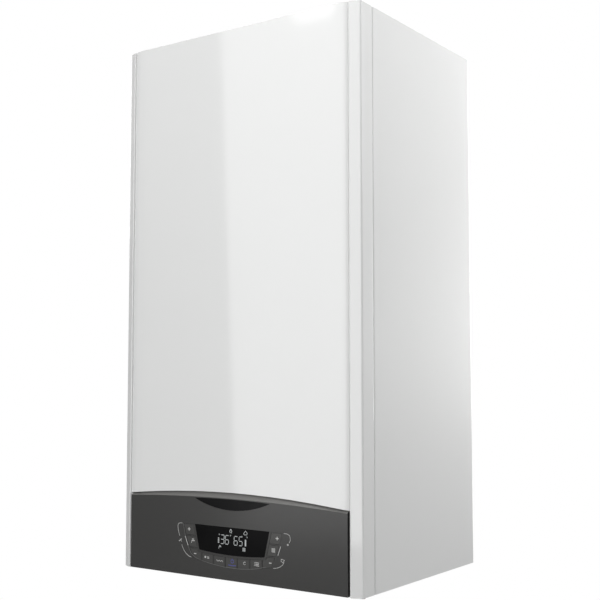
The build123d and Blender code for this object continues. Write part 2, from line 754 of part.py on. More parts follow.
with BuildPart() as casing_screws:
    for sign in (-1, 1):
        foot_plane = Plane((sign * screw_x, -COVER_SCREW_DEPTH, FLOOR - 0.2))
        add(screw(foot_plane))
    for x, h in side_screws:
        add(screw(Plane((x, -WALL_GAP, FLOOR + h), x_dir=(1, 0, 0), z_dir=(0, -1, 0))))
    for corner in range(COLLAR_SCREWS):
        angle = radians(45 + 90 * corner)
        screw_y = collar_ring * sin(angle) - FLUE_DEPTH
        seat = (collar_ring * cos(angle), screw_y, HEIGHT + FLOOR + COLLAR_PLATE)
        add(screw(Plane(seat, x_dir=(1, 0, 0), z_dir=(0, 0, -1))))
save(casing_screws, "casing_screws")

# ---------------------------------------------------------------- control panel

plate_rear = PANEL_FACE - FASCIA_WALL
fascia_rear = PANEL_FACE - FASCIA_DEPTH
panel_crown = PANEL_CROWN - SEAT_GAP


def display_outline(depth, grow):
    """The display's opening, tapered downwards over a bowed foot."""
    with BuildSketch(wall_plane(depth)) as outline:
        with BuildLine():
            Polyline(
                (-DISPLAY_FOOT_HALF, DISPLAY_FOOT),
                (-DISPLAY_TOP_HALF, DISPLAY_TOP),
                (DISPLAY_TOP_HALF, DISPLAY_TOP),
                (DISPLAY_FOOT_HALF, DISPLAY_FOOT),
            )
            ThreePointArc(
                (DISPLAY_FOOT_HALF, DISPLAY_FOOT),
                (0, DISPLAY_FOOT - DISPLAY_SAG),
                (-DISPLAY_FOOT_HALF, DISPLAY_FOOT),
            )
        make_face()
        if grow:
            offset(amount=grow, kind=Kind.INTERSECTION)
    return outline.sketch_local


def key_band():
    """The band that wraps the display's sides and foot, from which the keys are cut."""
    with BuildSketch() as band:
        with BuildLine():
            ThreePointArc(
                (-KEYS_FOOT_HALF, KEYS_CORNER),
                (-KEYS_WAIST_HALF, KEYS_WAIST),
                (-KEYS_TOP_HALF, DISPLAY_TOP),
            )
            Line((-KEYS_TOP_HALF, DISPLAY_TOP), (KEYS_TOP_HALF, DISPLAY_TOP))
            ThreePointArc(
                (KEYS_TOP_HALF, DISPLAY_TOP),
                (KEYS_WAIST_HALF, KEYS_WAIST),
                (KEYS_FOOT_HALF, KEYS_CORNER),
            )
            ThreePointArc(
                (KEYS_FOOT_HALF, KEYS_CORNER), (0, KEYS_FOOT), (-KEYS_FOOT_HALF, KEYS_CORNER)
            )
        make_face()
        add(display_outline(0, KEYS_MARGIN), mode=Mode.SUBTRACT)
    return band.sketch_local


# cells that part the band into keys: name, left, right, foot, top
row_half = 2.5 * KEY_PITCH
upper, lower = KEY_ROWS
outer = KEYS_TOP_HALF + 5
key_cells = {
    "key_water_up": (-outer, -row_half, upper, DISPLAY_TOP),
    "key_water": (-outer, -row_half, lower, upper),
    "key_water_down": (-outer, -row_half, 0, lower),
    "key_heat_up": (row_half, outer, upper, DISPLAY_TOP),
    "key_heat": (row_half, outer, lower, upper),
    "key_heat_down": (row_half, outer, 0, lower),
}
for count, label in enumerate(("key_mode", "key_comfort", "key_power", "key_reset", "key_menu")):
    left = -row_half + count * KEY_PITCH
    key_cells[label] = (left, left + KEY_PITCH, 0, lower)


def key_outline(cell, shrink):
    """One key's outline: the band inside its cell, less a rim."""
    left, right, foot, top = cell
    with BuildSketch() as outline:
        add(key_band())
        with Locations(((left + right) / 2, (foot + top) / 2)):
            Rectangle(right - left, top - foot, mode=Mode.INTERSECT)
        offset(amount=-shrink, kind=Kind.INTERSECTION)
    return outline.sketch_local


def crescent(depth, shrink):
    """The gloss insert under the arch: two arcs that meet in points."""
    tip = (CRESCENT_HALF - 4 * shrink, CRESCENT_TIP)
    with BuildSketch(wall_plane(depth)) as outline:
        with BuildLine():
            ThreePointArc((-tip[0], tip[1]), (0, CRESCENT_CROWN - shrink), tip)
            ThreePointArc(tip, (0, CRESCENT_FOOT + shrink), (-tip[0], tip[1]))
        make_face()
    return outline.sketch


key_opening_shrink = KEY_RIB / 2

with BuildPart() as fascia:
    # the face runs back into a bevelled band under the arch
    front = arched_outline(PANEL_FACE, PANEL_HALF, FASCIA_FOOT, BAND_CROWN, BAND_ARC_RADIUS)
    shoulder_outline = arched_outline(
        PANEL_FACE - BAND_SETBACK, PANEL_HALF, FASCIA_FOOT, panel_crown, PANEL_ARC_RADIUS - SEAT_GAP
    )
    loft([front, shoulder_outline], ruled=True)
    extrude(shoulder_outline, amount=BAND_SETBACK - FASCIA_DEPTH)
    # hollow behind the plate, deeper below the band than behind it
    pocket_half = PANEL_HALF - FASCIA_WALL
    pocket_foot = FASCIA_FOOT + FASCIA_WALL
    pocket = arched_outline(
        plate_rear, pocket_half, pocket_foot, BAND_CROWN - FASCIA_WALL, BAND_ARC_RADIUS
    )
    extrude(pocket, amount=FASCIA_WALL - FASCIA_DEPTH, mode=Mode.SUBTRACT)
    band_pocket = arched_outline(
        plate_rear - BAND_SETBACK, pocket_half, pocket_foot, panel_crown - FASCIA_WALL, PANEL_ARC_RADIUS
    )
    extrude(band_pocket, amount=FASCIA_WALL + BAND_SETBACK - FASCIA_DEPTH, mode=Mode.SUBTRACT)
    extrude(crescent(PANEL_FACE, 0), amount=-CRESCENT_THICKNESS, mode=Mode.SUBTRACT)
    with BuildSketch(wall_plane(PANEL_FACE)):
        add(display_outline(0, 0))
        for cell in key_cells.values():
            add(key_outline(cell, key_opening_shrink))
    extrude(amount=-FASCIA_WALL, mode=Mode.SUBTRACT)
save(fascia, "fascia")

with BuildPart() as crescent_insert:
    extrude(crescent(PANEL_FACE, INSERT_GAP), amount=-CRESCENT_THICKNESS)
save(crescent_insert, "crescent_insert")

with BuildPart() as display_window:
    with BuildSketch(wall_plane(PANEL_FACE - WINDOW_RECESS)):
        add(display_outline(0, -WINDOW_GAP))
    extrude(amount=WINDOW_RECESS - FASCIA_WALL)
    with BuildSketch(wall_plane(plate_rear)):
        add(display_outline(0, WINDOW_FLANGE))
    extrude(amount=-WINDOW_FLANGE_THICKNESS)
save(display_window, "display_window")

key_front = PANEL_FACE - KEY_RECESS
flange_front = plate_rear - KEY_SLACK
stem_rear = flange_front - KEY_FLANGE_THICKNESS - STEM_LENGTH
key_centres = {}

for label, cell in key_cells.items():
    cap = key_outline(cell, key_opening_shrink + KEY_GAP)
    key_centres[label] = cap.center()
    with BuildPart() as key:
        with BuildSketch(wall_plane(key_front)):
            add(cap)
        extrude(amount=flange_front - key_front)
        with BuildSketch(wall_plane(flange_front)):
            add(key_outline(cell, key_opening_shrink - KEY_FLANGE))
            add(display_outline(0, WINDOW_FLANGE + KEY_GAP), mode=Mode.SUBTRACT)
        extrude(amount=-KEY_FLANGE_THICKNESS)
        with BuildSketch(wall_plane(flange_front - KEY_FLANGE_THICKNESS)):
            with Locations(key_centres[label]):
                Rectangle(STEM_SIZE, STEM_SIZE)
        extrude(amount=-STEM_LENGTH)
    save(key, label)

switch_front = stem_rear - KEY_TRAVEL - KEY_SLACK
display_board_front = fascia_rear + 4.0

with BuildPart() as display_board:
    with BuildSketch(wall_plane(display_board_front)):
        with Locations((0, (KEYS_FOOT + DISPLAY_TOP) / 2)):
            Rectangle(2 * KEYS_TOP_HALF, DISPLAY_TOP - KEYS_FOOT + 8)
    extrude(amount=-BOARD)
    # push switches behind the keys and the display module behind the window
    with BuildSketch(wall_plane(display_board_front)):
        for centre in key_centres.values():
            with Locations(centre):
                Rectangle(SWITCH_SIZE, SWITCH_SIZE)
    extrude(amount=switch_front - display_board_front)
    with BuildSketch(wall_plane(display_board_front)):
        with Locations((0, (DISPLAY_FOOT + DISPLAY_TOP) / 2 + 1)):
            Rectangle(2 * DISPLAY_FOOT_HALF - 22, DISPLAY_TOP - DISPLAY_FOOT - 7.5)
    extrude(amount=plate_rear - WINDOW_FLANGE_THICKNESS - RUNNING_GAP - display_board_front)
save(display_board, "display_board")

box_front = fascia_rear
box_middle = (BOX_TOP + BOX_FOOT) / 2
box_tall = BOX_TOP - BOX_FOOT

with BuildPart() as control_box:
    extrude(
        arched_outline(box_front, PANEL_HALF - 0.5, FASCIA_FOOT + 0.5, BOX_TOP + 8, BAND_ARC_RADIUS),
        amount=-BOX_WALL,
    )
    extrude(
        block(wall_plane(box_front), 0, box_middle, 2 * BOX_HALF, box_tall, BOX_CORNER),
        amount=BOX_REAR - box_front,
    )
    extrude(
        block(
            wall_plane(box_front),
            0,
            box_middle,
            2 * (BOX_HALF - BOX_WALL),
            box_tall - 2 * BOX_WALL,
            BOX_CORNER - 1,
        ),
        amount=BOX_REAR + BOX_WALL - box_front,
        mode=Mode.SUBTRACT,
    )
    # hinge lugs on both ends, resting in the frame's rails
    for sign in (-1, 1):
        base = side_plane(sign * (BOX_HALF - 1))
        extrude(
            barrel(base, -HINGE_DEPTH, HINGE_HEIGHT, HINGE_RADIUS + 3),
            amount=sign * (rail_x - BOX_HALF + 1 - FREE_GAP),
        )
        extrude(
            disc(base, -HINGE_DEPTH, HINGE_HEIGHT, HINGE_RADIUS),
            amount=sign * (rail_x + FRAME_SHEET + 1 - BOX_HALF + 1),
        )
save(control_box, "control_box")

# the tallest parts on the main board: x, height, width, tall, deep
board_parts = [
    (50 - BOX_HALF, 52, 44, 40, 24),
    (-60, 60, 30, 16, 14),
    (-10, 60, 30, 16, 14),
    (45, 58, 24, 30, 12),
    (BOX_HALF - 70, 60, 50, 12, 12),
    (BOX_HALF - 30, 28, 20, 14, 10),
    (-40, 24, 90, 10, 11),
]

with BuildPart() as main_board:
    extrude(
        block(wall_plane(MAIN_BOARD_DEPTH), 0, box_middle, 2 * BOX_HALF - 24, box_tall - 14),
        amount=BOARD,
    )
    for x, h, width, tall, deep in board_parts:
        extrude(block(wall_plane(MAIN_BOARD_DEPTH + BOARD), x, h, width, tall), amount=deep)
    # pillars that stand on the box's rear wall
    with BuildSketch(wall_plane(MAIN_BOARD_DEPTH)):
        with Locations((0, box_middle)):
            with GridLocations(2 * BOX_HALF - 50, 50, 2, 2):
                Rectangle(7, 7)
    extrude(amount=BOX_REAR + BOX_WALL - MAIN_BOARD_DEPTH)
save(main_board, "main_board")

# ---------------------------------------------------------------- cable gland and unions

with BuildPart() as cable_gland:
    # hexagon cap under the tray, lock nut above it
    gland = (GLAND_X, -GLAND_DEPTH)
    extrude(barrel(level(-GLAND_REACH), *gland, GLAND_RADIUS, KNOB_SIDE_COUNT), amount=GLAND_LIP)
    extrude(
        barrel(level(GLAND_LIP - GLAND_REACH), *gland, GLAND_RADIUS + NUT_WALL, NUT_SIDE_COUNT),
        amount=GLAND_REACH - GLAND_LIP,
    )
    extrude(barrel(level(0), *gland, GLAND_RADIUS), amount=FRAME_SHEET)
    extrude(
        barrel(level(FRAME_SHEET), *gland, GLAND_RADIUS + NUT_WALL, NUT_SIDE_COUNT),
        amount=GLAND_TOP - FRAME_SHEET,
    )
    extrude(
        disc(level(-GLAND_REACH), *gland, GLAND_BORE),
        amount=GLAND_REACH + GLAND_TOP,
        mode=Mode.SUBTRACT,
    )
save(cable_gland, "cable_gland")

with BuildPart() as pipe_unions:
    for x, radius in zip(UNION_X, union_radii):
        extrude(disc(level(-UNION_DROP), x, -UNION_DEPTH, radius), amount=UNION_DROP + UNION_NUT)
        extrude(
            barrel(level(UNION_NUT), x, -UNION_DEPTH, radius + NUT_WALL, NUT_SIDE_COUNT),
            amount=BLOCK_FOOT - UNION_NUT,
        )
        extrude(
            barrel(level(-UNION_DROP), x, -UNION_DEPTH, radius - UNION_WALL, KNOB_SIDE_COUNT),
            amount=UNION_DROP + UNION_NUT,
            mode=Mode.SUBTRACT,
        )
save(pipe_unions, "pipe_unions")

# ---------------------------------------------------------------- hydraulic blocks

flow_x, water_x, gas_x, cold_x, return_x = UNION_X
block_shoulder = BLOCK_FOOT + BLOCK_BODY
valve_centre = (flow_x, -UNION_DEPTH)

with BuildPart() as flow_block:
    # casting over the heating flow and hot water unions
    with BuildSketch(level(BLOCK_FOOT)):
        with BuildLine():
            Polyline(
                (flow_x - BLOCK_HALF, -UNION_DEPTH - BLOCK_HALF),
                (flow_x + BLOCK_HALF, -UNION_DEPTH - BLOCK_HALF),
                (water_x + ARM_HALF, -UNION_DEPTH - ARM_HALF),
                (water_x + ARM_HALF, -PLATE_FRONT),
                (flow_x + ARM_HALF, -PLATE_FRONT),
                (flow_x - BLOCK_HALF, -UNION_DEPTH + BLOCK_HALF),
                close=True,
            )
        make_face()
    extrude(amount=BLOCK_BODY)
    # stand on the tray, flow port, and the three-way valve's chamber
    extrude(
        barrel(level(FRAME_SHEET), -STAND_X, -UNION_DEPTH, STAND_RADIUS),
        amount=BLOCK_FOOT - FRAME_SHEET,
    )
    extrude(
        barrel(level(block_shoulder), FLOW_PORT_X, -FLOW_PORT_DEPTH, PIPE_RADIUS + 3),
        amount=PORT_RISE,
    )
    extrude(
        barrel(level(block_shoulder), *valve_centre, BLOCK_HALF - 2),
        amount=BLOCK_TOP - block_shoulder,
    )
    extrude(
        barrel(level(BLOCK_FOOT + 6), *valve_centre, PLUG_RADIUS + FREE_GAP),
        amount=BLOCK_TOP - BLOCK_FOOT - 12,
        mode=Mode.SUBTRACT,
    )
    extrude(
        disc(level(BLOCK_TOP), *valve_centre, SPINDLE_RADIUS + RUNNING_GAP),
        amount=-8,
        mode=Mode.SUBTRACT,
    )
save(flow_block, "flow_block")

with BuildPart() as diverter_spindle:
    extrude(barrel(level(PLUG_HEIGHT), *valve_centre, PLUG_RADIUS), amount=PLUG_LENGTH)
    extrude(
        disc(level(PLUG_HEIGHT + PLUG_LENGTH), *valve_centre, SPINDLE_RADIUS),
        amount=BLOCK_TOP + SPINDLE_STROKE - PLUG_HEIGHT - PLUG_LENGTH,
    )
save(diverter_spindle, "diverter_spindle")

with BuildPart() as diverter_motor:
    extrude(barrel(level(BLOCK_TOP), *valve_centre, 18), amount=10)
    extrude(block(level(BLOCK_TOP + 10), flow_x, -UNION_DEPTH - 4, 42, 50, 5), amount=36)
    # hollow foot that the spindle's end works in
    extrude(
        barrel(level(BLOCK_TOP), *valve_centre, SPINDLE_RADIUS + 2 * FREE_GAP),
        amount=2 * SPINDLE_STROKE + 4,
        mode=Mode.SUBTRACT,
    )
save(diverter_motor, "diverter_motor")

pump_x = return_x
relief_height = BLOCK_FOOT + BLOCK_BODY / 2

with BuildPart() as return_block:
    # casting over the cold water and heating return unions
    with BuildSketch(level(BLOCK_FOOT)):
        with BuildLine():
            Polyline(
                (return_x + BLOCK_HALF, -UNION_DEPTH - BLOCK_HALF),
                (return_x - BLOCK_HALF, -UNION_DEPTH - BLOCK_HALF),
                (cold_x - ARM_HALF, -UNION_DEPTH - ARM_HALF),
                (cold_x - ARM_HALF, -PLATE_FRONT),
                (return_x - ARM_HALF, -PLATE_FRONT),
                (return_x + BLOCK_HALF, -UNION_DEPTH + BLOCK_HALF),
                close=True,
            )
        make_face()
    extrude(amount=BLOCK_BODY)
    # stand on the tray, pump's seat, arm to the safety valve, boss for the filling tap
    extrude(
        barrel(level(FRAME_SHEET), STAND_X, -UNION_DEPTH, STAND_RADIUS),
        amount=BLOCK_FOOT - FRAME_SHEET,
    )
    extrude(
        barrel(level(block_shoulder), pump_x, -RETURN_DEPTH, PUMP_SEAT_RADIUS),
        amount=PUMP_HEIGHT - PUMP_BODY_RADIUS - block_shoulder - PUMP_SEAT_RISE,
    )
    extrude(
        barrel(wall_plane(UNION_DEPTH + ARM_HALF), cold_x, relief_height, 9),
        amount=RELIEF_DEPTH - UNION_DEPTH - ARM_HALF - RELIEF_RADIUS,
    )
    extrude(barrel(level(BLOCK_FOOT), FILLER_X, -FILLER_DEPTH, 12), amount=26)
    extrude(
        block(wall_plane(UNION_DEPTH + ARM_HALF), FILLER_X, BLOCK_FOOT + 13, 14, 18),
        amount=FILLER_DEPTH - UNION_DEPTH - ARM_HALF - 6,
    )
    extrude(
        disc(level(BLOCK_FOOT), FILLER_X, -FILLER_DEPTH, FILLER_STEM + RUNNING_GAP),
        amount=FILLER_REACH + 2,
        mode=Mode.SUBTRACT,
    )
save(return_block, "return_block")

with BuildPart() as plate_exchanger:
    # thin edges between thicker plates
    for count in range(PLATE_COUNT):
        for inset, start, share in ((0, 0, 0.6), (2, 0.6, 0.4)):
            depth = PLATE_REAR + (count + start) * PLATE_PITCH
            outline = block(
                wall_plane(depth),
                0,
                (PLATE_FOOT + PLATE_TOP) / 2,
                2 * (PLATE_HALF - inset),
                PLATE_TOP - PLATE_FOOT - 2 * inset,
                14,
            )
            extrude(outline, amount=share * PLATE_PITCH)
    port_depth = PLATE_REAR + PLATE_COUNT * PLATE_PITCH
    for x in (-PLATE_PORT_X, PLATE_PORT_X):
        extrude(
            barrel(wall_plane(port_depth), x, PLATE_PORT_HEIGHT, 10),
            amount=PLATE_FRONT - port_depth,
        )
save(plate_exchanger, "plate_exchanger")

relief_rear = RELIEF_DEPTH - RELIEF_RADIUS
relief_front = RELIEF_DEPTH + RELIEF_FRONT
relief_end = relief_front + RELIEF_NECK

with BuildPart() as safety_valve:
    valve = (cold_x, relief_height)
    extrude(barrel(wall_plane(relief_rear), *valve, RELIEF_RADIUS), amount=relief_front - relief_rear)
    extrude(barrel(wall_plane(relief_front), *valve, RELIEF_RADIUS - 3), amount=RELIEF_NECK)
    extrude(
        disc(wall_plane(relief_end), *valve, SPINDLE_RADIUS + RUNNING_GAP),
        amount=-RELIEF_NECK,
        mode=Mode.SUBTRACT,
    )
    # outlet pipe through the tray, held by a nut under the valve
    outlet_pipe = (cold_x, -RELIEF_DEPTH)
    outlet_length = UNION_NUT + RELIEF_DROP
    extrude(disc(level(UNION_NUT), *outlet_pipe, DISCHARGE_RADIUS), amount=-outlet_length)
    extrude(
        barrel(level(UNION_NUT), *outlet_pipe, DISCHARGE_RADIUS + NUT_WALL, NUT_SIDE_COUNT),
        amount=relief_height - RELIEF_RADIUS / 2 - UNION_NUT,
    )
    extrude(
        barrel(level(-RELIEF_DROP), *outlet_pipe, DISCHARGE_RADIUS - PIPE_WALL, KNOB_SIDE_COUNT),
        amount=outlet_length,
        mode=Mode.SUBTRACT,
    )
save(safety_valve, "safety_valve")

with BuildPart() as relief_knob:
    knob_rear = wall_plane(relief_end + SEAT_GAP)
    extrude(barrel(knob_rear, *valve, KNOB_RADIUS, KNOB_SIDE_COUNT), amount=RELIEF_KNOB)
    chamfer(relief_knob.faces().sort_by(Axis.Y)[0].edges(), KNOB_BEVEL)
    extrude(disc(knob_rear, *valve, SPINDLE_RADIUS), amount=1 - RELIEF_NECK)
save(relief_knob, "relief_knob")

with BuildPart() as filling_knob:
    filler = (FILLER_X, -FILLER_DEPTH)
    extrude(barrel(level(-FILLER_GAP), *filler, KNOB_RADIUS, KNOB_SIDE_COUNT), amount=-RELIEF_KNOB)
    chamfer(filling_knob.faces().sort_by(Axis.Z)[0].edges(), KNOB_BEVEL)
    stem_length = BLOCK_FOOT + FILLER_GAP + FILLER_REACH
    extrude(disc(level(-FILLER_GAP), *filler, FILLER_STEM), amount=stem_length)
save(filling_knob, "filling_knob")

# ---------------------------------------------------------------- pump

pump_centre = (pump_x, PUMP_HEIGHT)
pump_seat = PUMP_HEIGHT - PUMP_BODY_RADIUS - PUMP_SEAT_RISE
pump_port = (pump_x + PUMP_PORT_OFFSET, -RETURN_DEPTH)
pump_port_top = PUMP_HEIGHT + PUMP_BODY_RADIUS + 8
vent = (pump_x + VENT_OFFSET, -RETURN_DEPTH)
cavity_rear = PUMP_REAR + 12
rotor_rear = cavity_rear + 6
shaft_gap = SHAFT_RADIUS + RUNNING_GAP

with BuildPart() as pump_body:
    extrude(
        barrel(wall_plane(PUMP_REAR), *pump_centre, PUMP_BODY_RADIUS, DRUM_SIDE_COUNT),
        amount=PUMP_FRONT - PUMP_REAR,
    )
    extrude(barrel(level(pump_seat), pump_x, -RETURN_DEPTH, PUMP_SEAT_RADIUS), amount=PUMP_BODY_RADIUS)
    extrude(barrel(level(PUMP_HEIGHT), *pump_port, PIPE_RADIUS + 4), amount=pump_port_top - PUMP_HEIGHT)
    extrude(barrel(level(PUMP_HEIGHT), *vent, VENT_RADIUS - 4), amount=VENT_FOOT - PUMP_HEIGHT)
    extrude(
        barrel(wall_plane(cavity_rear), *pump_centre, ROTOR_RADIUS + 3),
        amount=PUMP_FRONT - cavity_rear,
        mode=Mode.SUBTRACT,
    )
save(pump_body, "pump_body")

with BuildPart() as pump_motor:
    extrude(
        barrel(wall_plane(PUMP_FRONT), *pump_centre, PUMP_BODY_RADIUS, DRUM_SIDE_COUNT),
        amount=MOTOR_PLATE,
    )
    extrude(
        barrel(wall_plane(PUMP_FRONT), *pump_centre, PUMP_MOTOR_RADIUS - 4, DRUM_SIDE_COUNT),
        amount=PUMP_MOTOR_FRONT - PUMP_FRONT,
    )
    extrude(barrel(wall_plane(PUMP_MOTOR_FRONT), *pump_centre, PUMP_MOTOR_RADIUS - 10), amount=4)
    extrude(block(level(PUMP_HEIGHT), pump_x, -PUMP_FRONT - 34, 44, 34), amount=PUMP_MOTOR_RADIUS + 4)
    extrude(
        disc(wall_plane(PUMP_FRONT), *pump_centre, shaft_gap),
        amount=PUMP_MOTOR_FRONT - PUMP_FRONT - 12,
        mode=Mode.SUBTRACT,
    )
save(pump_motor, "pump_motor")

with BuildPart() as pump_rotor:
    extrude(barrel(wall_plane(rotor_rear), *pump_centre, ROTOR_RADIUS), amount=3)
    # back-swept vanes
    with BuildSketch(wall_plane(rotor_rear + 3)):
        with Locations(pump_centre):
            with PolarLocations(ROTOR_RADIUS / 2 + 3, ROTOR_VANES):
                Rectangle(ROTOR_RADIUS - 8, 1.6, rotation=35)
    extrude(amount=9)
    extrude(
        disc(wall_plane(rotor_rear + 3), *pump_centre, SHAFT_RADIUS),
        amount=PUMP_MOTOR_FRONT - rotor_rear - 17,
    )
save(pump_rotor, "pump_rotor")

with BuildPart() as air_vent:
    extrude(barrel(level(VENT_FOOT), *vent, VENT_RADIUS), amount=VENT_BODY)
    extrude(barrel(level(VENT_FOOT + VENT_BODY), *vent, VENT_RADIUS - 4), amount=4)
    extrude(barrel(level(VENT_FOOT + VENT_BODY), *vent, 4, KNOB_SIDE_COUNT), amount=VENT_TALL - VENT_BODY)
save(air_vent, "air_vent")

# ---------------------------------------------------------------- heat exchanger and burner

centre = (0, EXCHANGER_HEIGHT)
spigot_end = EXCHANGER_RADIUS + SPIGOT_REACH
flue_port = (0, -FLUE_DEPTH)
drain_port = (0, -DRAIN_DEPTH)
flow_port = (-FLOW_DEPTH, EXCHANGER_HEIGHT)
return_port = (-RETURN_DEPTH, RETURN_HEIGHT)

with BuildPart() as exchanger_shell:
    extrude(
        barrel(wall_plane(EXCHANGER_REAR), *centre, EXCHANGER_RADIUS, DRUM_SIDE_COUNT),
        amount=EXCHANGER_FRONT - EXCHANGER_REAR,
    )
    extrude(
        barrel(wall_plane(EXCHANGER_FRONT), *centre, DOOR_RADIUS, DRUM_SIDE_COUNT),
        amount=-SHELL_FLANGE,
    )
    # legs that stand it off the rear frame
    with BuildSketch(wall_plane(FRAME_FRONT)):
        with Locations((0, EXCHANGER_HEIGHT + 5)):
            with GridLocations(LEG_SPREAD, 0.75 * LEG_SPREAD, 2, 2):
                Rectangle(LEG_SIZE, LEG_SIZE)
    extrude(amount=EXCHANGER_REAR - FRAME_FRONT)
    # flue outlet on top, drain underneath, flow and return at the sides
    extrude(
        barrel(level(EXCHANGER_HEIGHT), *flue_port, FLUE_RADIUS + PIPE_WALL, DRUM_SIDE_COUNT),
        amount=spigot_end,
    )
    extrude(barrel(level(EXCHANGER_HEIGHT), *drain_port, DRAIN_RADIUS + 2), amount=-spigot_end)
    extrude(barrel(side_plane(0), *flow_port, SPIGOT_RADIUS), amount=-spigot_end)
    extrude(barrel(side_plane(0), *return_port, SPIGOT_RADIUS), amount=spigot_end)
    extrude(
        barrel(wall_plane(EXCHANGER_FRONT), *centre, EXCHANGER_RADIUS - EXCHANGER_WALL, DRUM_SIDE_COUNT),
        amount=EXCHANGER_REAR + EXCHANGER_WALL - EXCHANGER_FRONT,
        mode=Mode.SUBTRACT,
    )
    # their bores, from the middle outwards
    bores = (
        (barrel(level(EXCHANGER_HEIGHT), *flue_port, FLUE_RADIUS, DRUM_SIDE_COUNT), spigot_end),
        (barrel(level(EXCHANGER_HEIGHT), *drain_port, DRAIN_RADIUS), -spigot_end),
        (barrel(side_plane(0), *flow_port, TAIL_RADIUS + TAIL_GAP), -spigot_end),
        (barrel(side_plane(0), *return_port, TAIL_RADIUS + TAIL_GAP), spigot_end),
    )
    for bore, reach in bores:
        extrude(bore, amount=reach, mode=Mode.SUBTRACT)
save(exchanger_shell, "exchanger_shell")

with BuildPart() as exchanger_coil:
    # flat turns with a step between them, and a tail through each side spigot
    for turn in range(COIL_TURNS):
        rear = wall_plane(COIL_REAR + turn * COIL_PITCH)
        extrude(barrel(rear, *centre, COIL_OUTER), amount=COIL_PITCH - COIL_STEP)
        if turn:
            extrude(barrel(rear, *centre, COIL_OUTER - 6), amount=-COIL_STEP)
    extrude(barrel(side_plane(-spigot_end), *flow_port, TAIL_RADIUS), amount=SPIGOT_REACH + 30)
    extrude(barrel(side_plane(spigot_end), *return_port, TAIL_RADIUS), amount=-SPIGOT_REACH - 35)
    extrude(
        barrel(wall_plane(COIL_REAR), *centre, COIL_INNER),
        amount=COIL_TURNS * COIL_PITCH,
        mode=Mode.SUBTRACT,
    )
save(exchanger_coil, "exchanger_coil")

with BuildPart() as burner:
    face = wall_plane(EXCHANGER_FRONT)
    extrude(barrel(face, *centre, BURNER_RADIUS + 8), amount=-2)
    extrude(barrel(face, *centre, BURNER_RADIUS), amount=-BURNER_LENGTH)
    extrude(
        barrel(face, *centre, BURNER_RADIUS - BURNER_WALL),
        amount=BURNER_WALL - BURNER_LENGTH,
        mode=Mode.SUBTRACT,
    )
    # slots through its sides
    for row in range(BURNER_ROWS):
        row_depth = EXCHANGER_FRONT - BURNER_LENGTH * (row + 1) / (BURNER_ROWS + 1)
        with BuildSketch(wall_plane(row_depth)):
            with Locations(centre):
                Rectangle(2 * BURNER_RADIUS + 4, 8)
                Rectangle(8, 2 * BURNER_RADIUS + 4)
                RegularPolygon(BURNER_RADIUS - BURNER_WALL - 1, BARREL_SIDE_COUNT, mode=Mode.SUBTRACT)
        extrude(amount=BURNER_SLOT, mode=Mode.SUBTRACT)
save(burner, "burner")

outlet = (FAN_X + FAN_OUTLET_SHIFT, FAN_HEIGHT + FAN_OUTLET_RISE - FAN_OUTLET_DROP)
duct_rear = EXCHANGER_FRONT + DOOR_THICKNESS
electrode_spots = [
    (ELECTRODE_RING * cos(radians(a)), EXCHANGER_HEIGHT + ELECTRODE_RING * sin(radians(a)))
    for a in ELECTRODE_ANGLES
]

with BuildPart() as burner_door:
    with BuildSketch(wall_plane(EXCHANGER_FRONT)):
        with Locations(centre):
            RegularPolygon(DOOR_RADIUS, DRUM_SIDE_COUNT)
        with Locations(electrode_spots):
            RegularPolygon(ELECTRODE_RADIUS, 8, mode=Mode.SUBTRACT)
    extrude(amount=DOOR_THICKNESS)
    # mixing duct from the fan's outlet to the burner, cast on the door
    with BuildSketch(wall_plane(duct_rear)):
        with Locations(centre):
            RegularPolygon(DUCT_RADIUS, BARREL_SIDE_COUNT)
        with Locations(outlet):
            RegularPolygon(DUCT_RADIUS / 2, BARREL_SIDE_COUNT)
        make_hull()
    extrude(amount=DUCT_FRONT - duct_rear)
    chamfer(burner_door.faces().sort_by(Axis.Y)[0].edges(), 6)
    extrude(barrel(wall_plane(FAN_FRONT), *outlet, NECK_RADIUS + 3), amount=duct_rear - FAN_FRONT)
    extrude(
        barrel(wall_plane(FAN_FRONT), *outlet, NECK_RADIUS),
        amount=DUCT_FRONT - FAN_FRONT - 8,
        mode=Mode.SUBTRACT,
    )
    extrude(
        barrel(wall_plane(EXCHANGER_FRONT), *centre, BURNER_RADIUS - 4),
        amount=DUCT_FRONT - EXCHANGER_FRONT - 8,
        mode=Mode.SUBTRACT,
    )
save(burner_door, "burner_door")

with BuildPart() as door_nuts:
    with BuildSketch(wall_plane(duct_rear)):
        with Locations(centre):
            with PolarLocations(STUD_RING, DOOR_NUTS):
                RegularPolygon(NUT_RADIUS, 6)
    extrude(amount=6)
save(door_nuts, "door_nuts")

with BuildPart() as electrodes:
    with BuildSketch(wall_plane(EXCHANGER_FRONT)):
        with Locations(electrode_spots):
            RegularPolygon(ELECTRODE_RADIUS - RUNNING_GAP, 8)
    extrude(amount=DOOR_THICKNESS + 20)
    with BuildSketch(wall_plane(EXCHANGER_FRONT)):
        with Locations(electrode_spots):
            Rectangle(2, 2)
    extrude(amount=-ELECTRODE_REACH)
save(electrodes, "electrodes")

# ---------------------------------------------------------------- fan, mixer, silencer, gas

fan_centre = (FAN_X, FAN_HEIGHT)


def spiral_point(radius, angle):
    return (FAN_X + radius * cos(radians(angle)), FAN_HEIGHT + radius * sin(radians(angle)))


